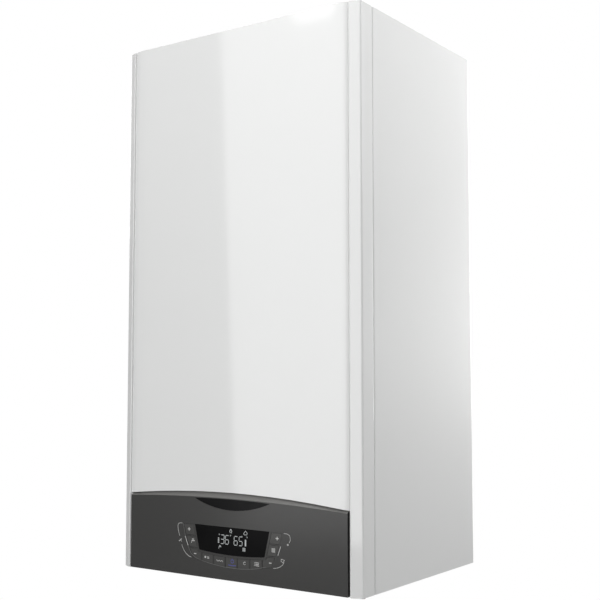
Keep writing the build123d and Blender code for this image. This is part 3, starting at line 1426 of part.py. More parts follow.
def volute_outline(depth, inset):
    """Fan housing: a spiral that opens into an upright outlet on the right."""
    start, end = VOLUTE_TONGUE, 360
    turns = [start + (end - start) * step / VOLUTE_STEPS for step in range(VOLUTE_STEPS + 1)]
    growth = (VOLUTE_END - VOLUTE_START) / (end - start)
    spiral = [spiral_point(VOLUTE_START + growth * (turn - start), turn) for turn in turns]
    outlet_top = FAN_HEIGHT + FAN_OUTLET_RISE
    with BuildSketch(wall_plane(depth)) as outline:
        with BuildLine():
            Polyline((FAN_X + VOLUTE_END, outlet_top), (spiral[0][0], outlet_top), *spiral, close=True)
        make_face()
        if inset:
            offset(amount=-inset, kind=Kind.INTERSECTION)
    return outline.sketch


with BuildPart() as fan_housing:
    extrude(volute_outline(FAN_REAR, 0), amount=FAN_FRONT - FAN_REAR)
    extrude(
        volute_outline(FAN_REAR + FAN_WALL, FAN_WALL),
        amount=FAN_FRONT - FAN_REAR - 2 * FAN_WALL,
        mode=Mode.SUBTRACT,
    )
    extrude(barrel(wall_plane(FAN_REAR), *fan_centre, FAN_EYE), amount=FAN_WALL, mode=Mode.SUBTRACT)
    extrude(
        barrel(wall_plane(FAN_FRONT), *fan_centre, SHAFT_RADIUS + 1),
        amount=-FAN_WALL,
        mode=Mode.SUBTRACT,
    )
    extrude(barrel(wall_plane(FAN_FRONT), *outlet, NECK_RADIUS), amount=-FAN_WALL, mode=Mode.SUBTRACT)
save(fan_housing, "fan_housing")

fan_disc = FAN_FRONT - FAN_WALL - 4

with BuildPart() as fan_impeller:
    extrude(barrel(wall_plane(fan_disc), *fan_centre, IMPELLER_RADIUS, BARREL_SIDE_COUNT), amount=-2)
    # backward-curved blades between the disc and the inlet ring
    with BuildSketch(wall_plane(fan_disc - 2)):
        with Locations(fan_centre):
            with PolarLocations(IMPELLER_RADIUS - 11, IMPELLER_BLADES):
                Rectangle(19, 1.4, rotation=-42)
    extrude(amount=-22)
    with BuildSketch(wall_plane(fan_disc - 24)):
        with Locations(fan_centre):
            RegularPolygon(IMPELLER_RADIUS, BARREL_SIDE_COUNT)
            RegularPolygon(IMPELLER_RADIUS - 14, BARREL_SIDE_COUNT, mode=Mode.SUBTRACT)
    extrude(amount=-2)
    extrude(
        disc(wall_plane(fan_disc), *fan_centre, SHAFT_RADIUS),
        amount=FAN_MOTOR_FRONT - 16 - fan_disc,
    )
save(fan_impeller, "fan_impeller")

with BuildPart() as fan_motor:
    extrude(barrel(wall_plane(FAN_FRONT), *fan_centre, 34, DRUM_SIDE_COUNT), amount=5)
    extrude(
        barrel(wall_plane(FAN_FRONT), *fan_centre, 30, DRUM_SIDE_COUNT),
        amount=FAN_MOTOR_LENGTH,
    )
    extrude(
        disc(wall_plane(FAN_FRONT), *fan_centre, shaft_gap),
        amount=FAN_MOTOR_LENGTH - 14,
        mode=Mode.SUBTRACT,
    )
save(fan_motor, "fan_motor")

with BuildPart() as gas_air_mixer:
    mixer_rear = wall_plane(MIXER_REAR)
    mixer_front = wall_plane(FAN_REAR)
    extrude(barrel(mixer_rear, *fan_centre, MIXER_FLANGE_RADIUS), amount=MIXER_FLANGE)
    extrude(barrel(mixer_rear, *fan_centre, MIXER_RADIUS), amount=MIXER_LENGTH)
    extrude(barrel(mixer_front, *fan_centre, MIXER_FLANGE_RADIUS), amount=-MIXER_FLANGE)
    extrude(
        barrel(level(GAS_PORT_HEIGHT), FAN_X, -GAS_PORT_DEPTH, GAS_PORT_RADIUS),
        amount=FAN_HEIGHT - GAS_PORT_HEIGHT - THROAT_RADIUS - PIPE_WALL,
    )
    # the bore narrows to a throat where the gas comes in
    extrude(barrel(mixer_rear, *fan_centre, FAN_EYE), amount=THROAT_INSET, mode=Mode.SUBTRACT)
    extrude(barrel(mixer_front, *fan_centre, FAN_EYE), amount=-THROAT_INSET, mode=Mode.SUBTRACT)
    extrude(barrel(mixer_rear, *fan_centre, THROAT_RADIUS), amount=MIXER_LENGTH, mode=Mode.SUBTRACT)
save(gas_air_mixer, "gas_air_mixer")

with BuildPart() as air_silencer:
    mouth_centre = (-MIXER_REAR + SILENCER_DEEP / 2, FAN_HEIGHT)
    extrude(
        block(side_plane(SILENCER_LEFT), *mouth_centre, SILENCER_DEEP, SILENCER_TALL, SILENCER_CUT),
        amount=SILENCER_RIGHT - SILENCER_LEFT,
    )
    mouth = air_silencer.faces().sort_by(Axis.X)[0]
    offset(amount=-SILENCER_WALL, openings=mouth)
    extrude(barrel(mixer_rear, *fan_centre, FAN_EYE), amount=-SILENCER_WALL, mode=Mode.SUBTRACT)
save(air_silencer, "air_silencer")

valve_middle = (VALVE_REAR + VALVE_FRONT) / 2
solenoid_height = VALVE_FOOT + VALVE_TALL / 2
solenoid_front = VALVE_FRONT + SOLENOID_LENGTH

with BuildPart() as gas_valve:
    extrude(
        block(level(VALVE_FOOT), FAN_X, -valve_middle, VALVE_WIDTH, VALVE_FRONT - VALVE_REAR, 6),
        amount=VALVE_TALL,
    )
    extrude(barrel(level(VALVE_TOP), FAN_X, -GAS_PORT_DEPTH, GAS_PORT_RADIUS), amount=VALVE_NECK)
    # twin solenoids
    for x in (FAN_X - SOLENOID_OFFSET, FAN_X + SOLENOID_OFFSET):
        extrude(
            block(wall_plane(VALVE_FRONT), x, solenoid_height, SOLENOID_SIZE, SOLENOID_SIZE),
            amount=SOLENOID_LENGTH,
        )
        extrude(
            barrel(wall_plane(solenoid_front), x, solenoid_height, SOLENOID_SIZE / 2 - 1),
            amount=SOLENOID_CAP,
        )
save(gas_valve, "gas_valve")

gas_inlet_x = FAN_X - SOLENOID_OFFSET

with BuildPart() as gas_pipe:
    sweep(
        *pipe_run(
            PIPE_RADIUS,
            PIPE_BEND,
            (gas_x, UNION_DEPTH, BLOCK_FOOT),
            (gas_x, UNION_DEPTH, GAS_PIPE_TURN),
            (gas_inlet_x, GAS_PORT_DEPTH, GAS_PIPE_TURN),
            (gas_inlet_x, GAS_PORT_DEPTH, VALVE_FOOT),
        ),
        transition=Transition.RIGHT,
    )
save(gas_pipe, "gas_pipe")

# ---------------------------------------------------------------- flue

duct_foot = EXCHANGER_HEIGHT + spigot_end
duct_top = HEIGHT - 4

with BuildPart() as flue_duct:
    extrude(barrel(level(duct_foot), *flue_port, FLUE_RADIUS + SLEEVE, DRUM_SIDE_COUNT), amount=14)
    extrude(
        barrel(level(duct_foot), *flue_port, FLUE_RADIUS + PIPE_WALL, DRUM_SIDE_COUNT),
        amount=duct_top - duct_foot,
    )
    extrude(
        barrel(level(duct_foot), *flue_port, FLUE_RADIUS, DRUM_SIDE_COUNT),
        amount=duct_top - duct_foot,
        mode=Mode.SUBTRACT,
    )
save(flue_duct, "flue_duct")

bead_radius = AIR_RADIUS + COLLAR_BEAD

with BuildPart() as flue_collar:
    # clamping plate
    with BuildSketch(level(HEIGHT)) as plate:
        with Locations(flue_port):
            Rectangle(2 * COLLAR_FLANGE, 2 * COLLAR_FLANGE)
            chamfer(plate.vertices(), COLLAR_CUT)
            RegularPolygon(bead_radius + RUNNING_GAP, DRUM_SIDE_COUNT, mode=Mode.SUBTRACT)
            with PolarLocations(collar_ring, COLLAR_SCREWS, 45, rotate=False):
                RegularPolygon(SCREW_RADIUS + RUNNING_GAP, SCREW_SIDE_COUNT, mode=Mode.SUBTRACT)
    extrude(amount=COLLAR_PLATE)
    # outer tube that stands in it on a bead
    extrude(barrel(level(HEIGHT), *flue_port, bead_radius, DRUM_SIDE_COUNT), amount=COLLAR_PLATE)
    extrude(disc(level(HEIGHT), *flue_port, AIR_RADIUS), amount=COLLAR_RISE)
    extrude(
        barrel(level(HEIGHT), *flue_port, AIR_RADIUS - PIPE_WALL, DRUM_SIDE_COUNT),
        amount=COLLAR_RISE,
        mode=Mode.SUBTRACT,
    )
    # inner tube, carried by spokes across the air gap
    extrude(
        barrel(level(duct_top), *flue_port, FLUE_RADIUS + PIPE_WALL, DRUM_SIDE_COUNT),
        amount=HEIGHT + COLLAR_RISE - duct_top,
    )
    with BuildSketch(level(HEIGHT)):
        with Locations(flue_port):
            with PolarLocations((AIR_RADIUS + FLUE_RADIUS) / 2, SPOKE_COUNT, 90):
                Rectangle(AIR_RADIUS - FLUE_RADIUS - PIPE_WALL, SPOKE_WIDTH)
    extrude(amount=SPOKE_HEIGHT)
    extrude(
        disc(level(duct_top), *flue_port, FLUE_RADIUS),
        amount=HEIGHT + COLLAR_RISE - duct_top,
        mode=Mode.SUBTRACT,
    )
save(flue_collar, "flue_collar")

# ---------------------------------------------------------------- expansion vessel and pipes

vessel_depth = (VESSEL_REAR + VESSEL_FRONT) / 2
vessel_height = (VESSEL_FOOT + VESSEL_TOP) / 2
vessel_tall = VESSEL_TOP - VESSEL_FOOT

with BuildPart() as expansion_vessel:
    # two domed shells that meet at a crimped rim
    extrude(
        block(wall_plane(VESSEL_REAR), 0, vessel_height, 2 * VESSEL_HALF, vessel_tall, VESSEL_CORNER),
        amount=VESSEL_FRONT - VESSEL_REAR,
    )
    ends = expansion_vessel.faces().sort_by(Axis.Y)
    chamfer(ends[0].edges() + ends[-1].edges(), VESSEL_BEVEL)
    rim_size = (2 * (VESSEL_HALF + VESSEL_RIM), vessel_tall + 2 * VESSEL_RIM)
    extrude(
        block(wall_plane(vessel_depth - VESSEL_RIM / 2), 0, vessel_height, *rim_size, VESSEL_CORNER),
        amount=VESSEL_RIM,
    )
    # feet against the rear frame, water port below and air valve above
    with BuildSketch(wall_plane(FRAME_FRONT)):
        with Locations((0, vessel_height)):
            with GridLocations(VESSEL_HALF, VESSEL_HALF, 2, 2):
                Rectangle(20, 20)
    extrude(amount=vessel_depth - FRAME_FRONT)
    extrude(barrel(level(VESSEL_FOOT - 12), HOSE_PORT_X, -vessel_depth, HOSE_RADIUS + 3), amount=20)
    extrude(barrel(level(VESSEL_TOP), AIR_VALVE_X, -vessel_depth, 5, 8), amount=18)
save(expansion_vessel, "expansion_vessel")

with BuildPart() as vessel_hose:
    sweep(
        *pipe_run(
            HOSE_RADIUS,
            HOSE_BEND,
            (HOSE_PORT_X, vessel_depth, VESSEL_FOOT - 12),
            (HOSE_PORT_X, vessel_depth, HOSE_TURN),
            (HOSE_PORT_X, HOSE_FOOT_DEPTH, HOSE_TURN),
            (HOSE_PORT_X, HOSE_FOOT_DEPTH, block_shoulder),
        ),
        transition=Transition.RIGHT,
    )
save(vessel_hose, "vessel_hose")

flow_side = -spigot_end - FLOW_PIPE_REACH

with BuildPart() as flow_pipe:
    sweep(
        *pipe_run(
            PIPE_RADIUS,
            PIPE_BEND,
            (-spigot_end, FLOW_DEPTH, EXCHANGER_HEIGHT),
            (flow_side, FLOW_DEPTH, EXCHANGER_HEIGHT),
            (flow_side, FLOW_DEPTH, FLOW_PIPE_TURN),
            (FLOW_PORT_X, FLOW_PORT_DEPTH, FLOW_PIPE_TURN - FLOW_PIPE_SLOPE),
            (FLOW_PORT_X, FLOW_PORT_DEPTH, block_shoulder + PORT_RISE),
        ),
        transition=Transition.RIGHT,
    )
save(flow_pipe, "flow_pipe")

with BuildPart() as return_pipe:
    sweep(
        *pipe_run(
            PIPE_RADIUS,
            PIPE_BEND,
            (pump_port[0], RETURN_DEPTH, pump_port_top),
            (pump_port[0], RETURN_DEPTH, RETURN_HEIGHT),
            (spigot_end, RETURN_DEPTH, RETURN_HEIGHT),
        ),
        transition=Transition.RIGHT,
    )
save(return_pipe, "return_pipe")

with BuildPart() as condensate_trap:
    trap = (TRAP_X, -TRAP_DEPTH)
    extrude(barrel(level(TRAP_FOOT), *trap, TRAP_RADIUS), amount=TRAP_TOP - TRAP_FOOT - TRAP_CAP)
    extrude(barrel(level(TRAP_TOP - TRAP_CAP), *trap, TRAP_RADIUS + TRAP_RIM), amount=TRAP_CAP / 2)
    extrude(barrel(level(TRAP_TOP - TRAP_CAP / 2), *trap, DRAIN_RADIUS + 3), amount=TRAP_CAP / 2)
    # collar on the tray, outlet through it
    extrude(barrel(level(FRAME_SHEET), *trap, TRAP_OUTLET + 8), amount=4)
    extrude(disc(level(TRAP_OUTLET_END), *trap, TRAP_OUTLET), amount=TRAP_FOOT - TRAP_OUTLET_END)
    extrude(
        barrel(level(TRAP_OUTLET_END), *trap, TRAP_OUTLET - TRAP_RIM, KNOB_SIDE_COUNT),
        amount=TRAP_FOOT,
        mode=Mode.SUBTRACT,
    )
save(condensate_trap, "condensate_trap")

with BuildPart() as condensate_hose:
    sweep(
        *pipe_run(
            DRAIN_RADIUS + 2,
            PIPE_BEND,
            (0, DRAIN_DEPTH, EXCHANGER_HEIGHT - spigot_end),
            (0, DRAIN_DEPTH, DRAIN_TURN),
            (TRAP_X, TRAP_DEPTH, DRAIN_TURN - DRAIN_SLOPE),
            (TRAP_X, TRAP_DEPTH, TRAP_TOP),
        ),
        transition=Transition.RIGHT,
    )
save(condensate_hose, "condensate_hose")
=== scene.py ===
"""Looks of a wall-hung combi boiler: white enamelled casing over a dark arched control panel.

Metres, +X to the right seen from the room, +Y into the wall, +Z up. Marks on the control
panel are placed in millimetres: across from the middle, and up from the casing's bottom edge.
"""

import json
import math

import bmesh
import bpy
from mathutils import Matrix, Vector


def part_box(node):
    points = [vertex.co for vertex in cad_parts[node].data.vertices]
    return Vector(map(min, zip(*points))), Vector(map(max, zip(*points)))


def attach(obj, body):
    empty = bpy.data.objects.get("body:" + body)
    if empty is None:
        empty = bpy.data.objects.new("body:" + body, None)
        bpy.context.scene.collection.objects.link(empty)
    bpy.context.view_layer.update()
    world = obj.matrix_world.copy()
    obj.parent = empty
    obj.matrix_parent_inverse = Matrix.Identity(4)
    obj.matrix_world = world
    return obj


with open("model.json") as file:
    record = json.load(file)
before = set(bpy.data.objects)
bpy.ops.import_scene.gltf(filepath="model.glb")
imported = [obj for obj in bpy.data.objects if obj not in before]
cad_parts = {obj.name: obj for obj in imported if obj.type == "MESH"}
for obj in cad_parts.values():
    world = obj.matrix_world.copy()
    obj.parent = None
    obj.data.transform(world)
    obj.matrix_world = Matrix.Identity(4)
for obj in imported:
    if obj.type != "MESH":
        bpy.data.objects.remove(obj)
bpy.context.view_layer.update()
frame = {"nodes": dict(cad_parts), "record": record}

nodes = frame["nodes"]
bodies = frame["record"]["behaviour"]["bodies"]
body_of = {node: body for body, members in bodies.items() for node in members}

MM = 0.001
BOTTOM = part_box("front_cover")[0].z  # the casing's bottom edge

# ---------------------------------------------------------------- materials

NOISE_LOW, NOISE_HIGH = 0.25, 0.75  # where most of a noise texture's values lie
RAMP_LOW, RAMP_HIGH = 0.3, 0.7


class Paint:
    """A Principled material whose node tree is built up step by step."""

    def __init__(
        self, name, colour, rough, metal=0.0, coat=0.0, coat_rough=0.03, stretch=(1, 1, 1)
    ):
        self.name = name
        self.colour = colour
        self.rough = rough
        self.material = bpy.data.materials.new(name)
        self.material.use_nodes = True
        self.nodes = self.material.node_tree.nodes
        self.links = self.material.node_tree.links
        self.shader = self.nodes["Principled BSDF"]
        self.shader.inputs["Base Color"].default_value = (*colour, 1)
        self.shader.inputs["Roughness"].default_value = rough
        self.shader.inputs["Metallic"].default_value = metal
        self.shader.inputs["Coat Weight"].default_value = coat
        self.shader.inputs["Coat Roughness"].default_value = coat_rough
        coordinates = self.nodes.new("ShaderNodeTexCoord")
        self.mapping = self.nodes.new("ShaderNodeMapping")
        self.mapping.inputs["Scale"].default_value = stretch
        self.links.new(coordinates.outputs["Object"], self.mapping.inputs["Vector"])

    def noise(self, scale, detail=3.0):
        texture = self.nodes.new("ShaderNodeTexNoise")
        texture.inputs["Scale"].default_value = scale
        texture.inputs["Detail"].default_value = detail
        self.links.new(self.mapping.outputs["Vector"], texture.inputs["Vector"])
        return texture.outputs["Fac"]

    def cells(self, scale):
        texture = self.nodes.new("ShaderNodeTexVoronoi")
        texture.inputs["Scale"].default_value = scale
        self.links.new(self.mapping.outputs["Vector"], texture.inputs["Vector"])
        return texture.outputs["Color"]

    def mottled(self, spread, source):
        """Colour that drifts a little darker and lighter with the source."""
        ramp = self.nodes.new("ShaderNodeValToRGB")
        low, high = ramp.color_ramp.elements
        low.position, high.position = RAMP_LOW, RAMP_HIGH
        low.color = (*[c * (1 - spread) for c in self.colour], 1)
        high.color = (*[min(1.0, c * (1 + spread)) for c in self.colour], 1)
        self.links.new(source, ramp.inputs["Fac"])
        self.links.new(ramp.outputs["Color"], self.shader.inputs["Base Color"])

    def uneven(self, spread, source):
        """Gloss that varies over the surface with the source."""
        node = self.nodes.new("ShaderNodeMapRange")
        node.inputs["From Min"].default_value = NOISE_LOW
        node.inputs["From Max"].default_value = NOISE_HIGH
        node.inputs["To Min"].default_value = self.rough - spread
        node.inputs["To Max"].default_value = self.rough + spread
        self.links.new(source, node.inputs["Value"])
        self.links.new(node.outputs["Result"], self.shader.inputs["Roughness"])

    def grained(self, depth, source, strength=0.5):
        """Fine relief of the given depth in millimetres."""
        bump = self.nodes.new("ShaderNodeBump")
        bump.inputs["Strength"].default_value = strength
        bump.inputs["Distance"].default_value = depth * MM
        self.links.new(source, bump.inputs["Height"])
        self.links.new(bump.outputs["Normal"], self.shader.inputs["Normal"])


def enamel(name):
    paint = Paint(name, (0.72, 0.725, 0.72), rough=0.34, coat=1.0, coat_rough=0.05)
    paint.mottled(0.004, paint.noise(9))
    paint.uneven(0.02, paint.noise(25))
    paint.grained(0.004, paint.noise(1400), strength=0.2)
    return paint


def galvanised(name):
    """Fine zinc spangle, each crystal a little different in tone and gloss."""
    paint = Paint(name, (0.47, 0.48, 0.49), rough=0.56, metal=1.0)
    spangle = paint.cells(210)
    paint.mottled(0.06, spangle)
    paint.uneven(0.04, spangle)
    paint.grained(0.01, paint.noise(1500), strength=0.3)
    return paint


def plated(name):
    paint = Paint(name, (0.66, 0.65, 0.60), rough=0.32, metal=1.0)
    paint.mottled(0.10, paint.noise(260))
    paint.uneven(0.08, paint.noise(500))
    paint.grained(0.01, paint.noise(2500), strength=0.4)
    return paint


def anthracite(name, colour, coat=0.5):
    """Satin plastic with fine metallic flakes."""
    paint = Paint(name, colour, rough=0.42, metal=0.1, coat=coat, coat_rough=0.15)
    paint.mottled(0.10, paint.cells(4200))
    paint.uneven(0.03, paint.noise(60))
    paint.grained(0.006, paint.noise(2600), strength=0.4)
    return paint


def gloss_black(name, level, specular):
    """Dark moulding that hardly mirrors the studio."""
    paint = Paint(name, (level, level, level * 1.05), rough=0.16)
    paint.shader.inputs["Specular IOR Level"].default_value = specular
    paint.mottled(0.15, paint.noise(30))
    paint.uneven(0.03, paint.noise(80))
    paint.grained(0.002, paint.noise(900), strength=0.2)
    return paint


def moulded(name, colour, rough=0.45, grain=1600):
    paint = Paint(name, colour, rough)
    paint.mottled(0.06, paint.noise(40))
    paint.uneven(0.06, paint.noise(120))
    paint.grained(0.03, paint.noise(grain), strength=0.4)
    return paint


def cast(name, colour):
    paint = Paint(name, colour, rough=0.48, metal=1.0)
    paint.mottled(0.12, paint.noise(70))
    paint.uneven(0.10, paint.noise(200))
    paint.grained(0.08, paint.noise(900, detail=6.0))
    return paint


def drawn(name, colour, stretch=(1, 1, 0.03)):
    """Tube or sheet with fine marks along one way."""
    paint = Paint(name, colour, rough=0.30, metal=1.0, stretch=stretch)
    paint.mottled(0.10, paint.noise(700))
    paint.uneven(0.10, paint.noise(900))
    paint.grained(0.01, paint.noise(1800), strength=0.35)
    return paint


def lacquered(name, colour):
    """Gloss paint on pressed steel."""
    paint = Paint(name, colour, rough=0.30, coat=0.3)
    paint.mottled(0.08, paint.noise(20))
    paint.grained(0.03, paint.noise(500))
    return paint


def circuit_board(name):
    """Green solder resist over fine tracks."""
    resist = (0.03, 0.16, 0.07)
    paint = Paint(name, resist, rough=0.30, coat=0.3)
    tracks = paint.nodes.new("ShaderNodeTexBrick")
    tracks.inputs["Scale"].default_value = 90
    tracks.inputs["Mortar Size"].default_value = 0.012
    tracks.inputs["Color1"].default_value = (*resist, 1)
    tracks.inputs["Color2"].default_value = (0.035, 0.19, 0.085, 1)
    tracks.inputs["Mortar"].default_value = (0.02, 0.10, 0.045, 1)
    paint.links.new(paint.mapping.outputs["Vector"], tracks.inputs["Vector"])
    paint.links.new(tracks.outputs["Color"], paint.shader.inputs["Base Color"])
    paint.uneven(0.05, paint.noise(300))
    paint.grained(0.03, tracks.outputs["Fac"], strength=0.4)
    return paint


def ink(name, colour, glow=0.0):
    """Screen-printed mark, or a lit one on the display."""
    paint = Paint(name, colour, rough=0.5)
    paint.mottled(0.08, paint.noise(1500))
    paint.shader.inputs["Emission Color"].default_value = (*colour, 1)
    paint.shader.inputs["Emission Strength"].default_value = glow
    return paint


# one for each material slot of the solids
slot_paints = [
    enamel("white_enamel"),
    galvanised("zinc_sheet"),
    plated("fastener_steel"),
    anthracite("fascia_plastic", (0.021, 0.0206, 0.0194)),
    anthracite("key_plastic", (0.034, 0.0335, 0.0316)),
    gloss_black("crescent_black", 0.007, specular=0.08),
    gloss_black("display_black", 0.006, specular=0.04),
    circuit_board("board_green"),
    moulded("box_plastic", (0.10, 0.10, 0.105)),
    moulded("black_plastic", (0.022, 0.022, 0.023), rough=0.5),
    moulded("grey_plastic", (0.30, 0.31, 0.32)),
    moulded("white_plastic", (0.74, 0.74, 0.70), rough=0.38),
    moulded("blue_plastic", (0.02, 0.08, 0.32), rough=0.35),
    moulded("red_plastic", (0.42, 0.02, 0.015), rough=0.35),
    drawn("brass", (0.62, 0.43, 0.17)),
    drawn("copper", (0.66, 0.30, 0.16)),
    drawn("stainless", (0.60, 0.60, 0.59), stretch=(0.04, 1, 1)),
    cast("cast_aluminium", (0.58, 0.59, 0.60)),
    lacquered("vessel_red", (0.40, 0.022, 0.018)),
    moulded("ceramic", (0.78, 0.75, 0.66), rough=0.30),
    moulded("hose_black", (0.018, 0.018, 0.018), rough=0.62, grain=2200),
]
paint_of = {paint.name: paint for paint in slot_paints}
# painted light: the band's light grey stands in for the light it catches under the arch
band_painted_light = anthracite("band_painted_light", (0.16, 0.158, 0.152), coat=0.6)
print_grey = ink("print_grey", (0.50, 0.50, 0.49))
rim_grey = ink("rim_grey", (0.12, 0.12, 0.117))
print_blue = ink("print_blue", (0.06, 0.07, 0.30))
lit_grey = ink("display_lit", (0.40, 0.42, 0.42), glow=0.14)

for row in frame["record"]["subparts"]:
    data = nodes[row["node"]].data
    data.materials.clear()
    data.materials.append(paint_of[row["material_slot"]].material)
    for face in data.polygons:
        face.material_index = 0

# the bevelled band under the arch is moulded smoother than the panel's face, and its lighter
# colour is painted light: it stands in for the light the band catches under the arch
BAND_SLOPE = 0.2  # the band's normals lean upward and forward by more than this
fascia = nodes["fascia"].data
fascia.materials.append(band_painted_light.material)
for face in fascia.polygons:
    if face.normal.z > BAND_SLOPE and face.normal.y < -BAND_SLOPE:
        face.material_index = 1


# ---------------------------------------------------------------- printed marks

PRINT = 0.04  # thickness of the ink
HAIRLINE = 0.55  # widths of the drawn lines
MEDIUM = 0.8
BOLD = 0.9
BAR = 1.1  # arms of the plus and minus signs
MITRE = 0.5  # keeps sharp corners of a line from growing long
CURVE_STEPS = 6  # between two points of a smooth line
ARC_STEPS = 20
RING_STEPS = 10


def around(x, h, radius, turn):
    """Point on a circle, the turn in degrees."""
    angle = math.radians(turn)
    return (x + radius * math.cos(angle), h + radius * math.sin(angle))


class Marks:
    """Marks drawn on an upright face, each a thin solid."""

    def __init__(self):
        self.mesh = bmesh.new()

    def front_corner(self, x, h):
        return self.mesh.verts.new((x * MM, -PRINT * MM, h * MM))

    def back_corner(self, x, h):
        return self.mesh.verts.new((x * MM, 0, h * MM))

    def solid(self, outline):
        """Closes one outline of (x, height) points into a thin slab."""
        front = [self.front_corner(x, h) for x, h in outline]
        back = [self.back_corner(x, h) for x, h in outline]
        self.mesh.faces.new(front)
        self.mesh.faces.new(back[::-1])
        for i in range(len(outline)):
            j = (i + 1) % len(outline)
            self.mesh.faces.new((front[j], front[i], back[i], back[j]))

    def stroke(self, points, width, closed=False):
        """A line of the given width through the points."""
        path = [Vector(p) for p in points]
        count = len(path)
        rows = []
        for i, point in enumerate(path):
            ways = []
            if closed or i > 0:
                ways.append((point - path[i - 1]).normalized())
            if closed or i < count - 1:
                ways.append((path[(i + 1) % count] - point).normalized())
            along = sum(ways, Vector((0, 0))).normalized()
            across = Vector((-along.y, along.x)) * width / 2 / max(MITRE, along.dot(ways[0]))
            left, right = point + across, point - across
            rows.append(
                (
                    self.front_corner(*left),
                    self.front_corner(*right),
                    self.back_corner(*right),
                    self.back_corner(*left),
                )
            )
        for i in range(count if closed else count - 1):
            a, b = rows[i], rows[(i + 1) % count]
            for k in range(4):
                self.mesh.faces.new((a[k], a[(k + 1) % 4], b[(k + 1) % 4], b[k]))
        if not closed:
            self.mesh.faces.new(rows[0][::-1])
            self.mesh.faces.new(rows[-1])

    def arc(self, x, h, radius, width, start, sweep):
        turns = [start + sweep * i / ARC_STEPS for i in range(ARC_STEPS + 1)]
        self.stroke([around(x, h, radius, turn) for turn in turns], width)

    def ring(self, x, h, radius, width):
        turns = [360 * i / RING_STEPS for i in range(RING_STEPS)]
        self.stroke([around(x, h, radius, turn) for turn in turns], width, closed=True)

    def dot(self, x, h, radius, sides=12):
        self.solid([around(x, h, radius, 360 * i / sides) for i in range(sides)])

    def bar(self, x, h, width, tall):
        """An upright rectangle about its middle."""
        left, foot = x - width / 2, h - tall / 2
        right, top = left + width, foot + tall
        self.solid([(left, foot), (right, foot), (right, top), (left, top)])

    def place(self, name, node, paint, slot):
        """Seats the marks on the node's front face and lets them ride on its body."""
        bmesh.ops.recalc_face_normals(self.mesh, faces=self.mesh.faces)
        data = bpy.data.meshes.new(name)
        self.mesh.to_mesh(data)
        self.mesh.free()
        data.transform(Matrix.Translation((0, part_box(node)[0].y, BOTTOM)))
        data.materials.append(paint.material)
        piece = bpy.data.objects.new(name, data)
        bpy.context.scene.collection.objects.link(piece)
        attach(piece, body_of[node])


def between(a, b, c, d, t):
    """One coordinate of Catmull and Rom's curve, at t of the way from b to c."""
    slope = (c - a) * t
    bend = (2 * a - 5 * b + 4 * c - d) * t**2
    twist = (3 * b - a - 3 * c + d) * t**3
    return 0.5 * (2 * b + slope + bend + twist)


def smooth(*points):
    """A curve through the points."""
    ends = [points[0], *points, points[-1]]
    curve = []
    for stretch in zip(ends, ends[1:], ends[2:], ends[3:]):
        for i in range(CURVE_STEPS):
            curve.append(tuple(between(*row, i / CURVE_STEPS) for row in zip(*stretch)))
    return curve + [points[-1]]


def plus_mark(node, x, h, arm):
    marks = Marks()
    marks.bar(x, h, 2 * arm, BAR)
    marks.bar(x, h + (arm + BAR / 2) / 2, BAR, arm - BAR / 2)
    marks.bar(x, h - (arm + BAR / 2) / 2, BAR, arm - BAR / 2)
    marks.place(f"{node}_plus", node, print_grey, "key_plastic")


def minus_mark(node, x, h, arm):
    marks = Marks()
    marks.bar(x, h, 2 * arm, BAR)
    marks.place(f"{node}_minus", node, print_grey, "key_plastic")


def tap(marks, x, h, size):
    """A tap seen from the side: handle, pipe and spout with a drop."""
    unit = size / 6
    pipe_end = (x + 3 * unit, h + 0.3 * unit)
    elbow = (x - 1.6 * unit, h + 0.3 * unit)
    spout = (x - 2.4 * unit, h - 1.4 * unit)
    marks.bar(x, h + 2.4 * unit, 3.2 * unit, 0.8 * unit)
    marks.bar(x, h + 1.4 * unit, 0.9 * unit, 1.2 * unit)
    marks.stroke([pipe_end, elbow, spout], unit)
    marks.dot(x - 2.5 * unit, h - 2.6 * unit, 0.55 * unit)


def radiator(marks, x, h, size, columns):
    """A panel radiator seen from the front."""
    step = size / columns
    left, right = x - size / 2, x + size / 2
    for i in range(columns):
        marks.bar(x + (i - (columns - 1) / 2) * step, h, 0.55 * step, size)
    for rail in (h - 0.32 * size, h + 0.32 * size):
        marks.stroke([(left, rail), (right, rail)], 0.1 * size)


plus_mark("key_water_up", -73.4, 62.3, 2.3)
minus_mark("key_water_down", -62.4, 30.4, 2.0)
plus_mark("key_heat_up", 75.2, 62.3, 2.3)
minus_mark("key_heat_down", 64.3, 30.2, 2.0)

marks = Marks()
tap(marks, -66.4, 47.0, 6.2)
marks.place("key_water_tap", "key_water", print_grey, "key_plastic")

marks = Marks()
radiator(marks, 69.3, 46.8, 5.6, 4)
marks.place("key_heat_radiator", "key_heat", print_grey, "key_plastic")

# bottom row: operating mode, comfort, on and off, restart, settings
marks = Marks()
marks.dot(-44.4, 27.6, 1.5)
marks.bar(-39.5, 27.9, 3.6, MEDIUM)
marks.bar(-39.5, 26.3, 3.6, MEDIUM)
marks.place("key_mode_mark", "key_mode", print_grey, "key_plastic")

marks = Marks()
wave = [(-25.5 + 0.6 * i, 24.9 + 0.75 * math.sin(0.9 * i)) for i in range(20)]
marks.stroke(wave, HAIRLINE)
marks.place("key_comfort_mark", "key_comfort", print_grey, "key_plastic")

marks = Marks()
marks.arc(1.9, 26.4, 2.3, 0.6, start=120, sweep=300)
marks.bar(1.9, 28.4, 0.6, 3.0)
marks.stroke([(-4.6, 20.9), (1.9, 20.6), (8.3, 21.1)], BOLD)
marks.place("key_power_mark", "key_power", print_blue, "key_plastic")

marks = Marks()
marks.arc(22.2, 25.6, 1.7, HAIRLINE, start=60, sweep=280)
marks.solid([(22.4, 28.2), (22.4, 26.1), (24.3, 27.2)])
marks.place("key_reset_mark", "key_reset", print_grey, "key_plastic")

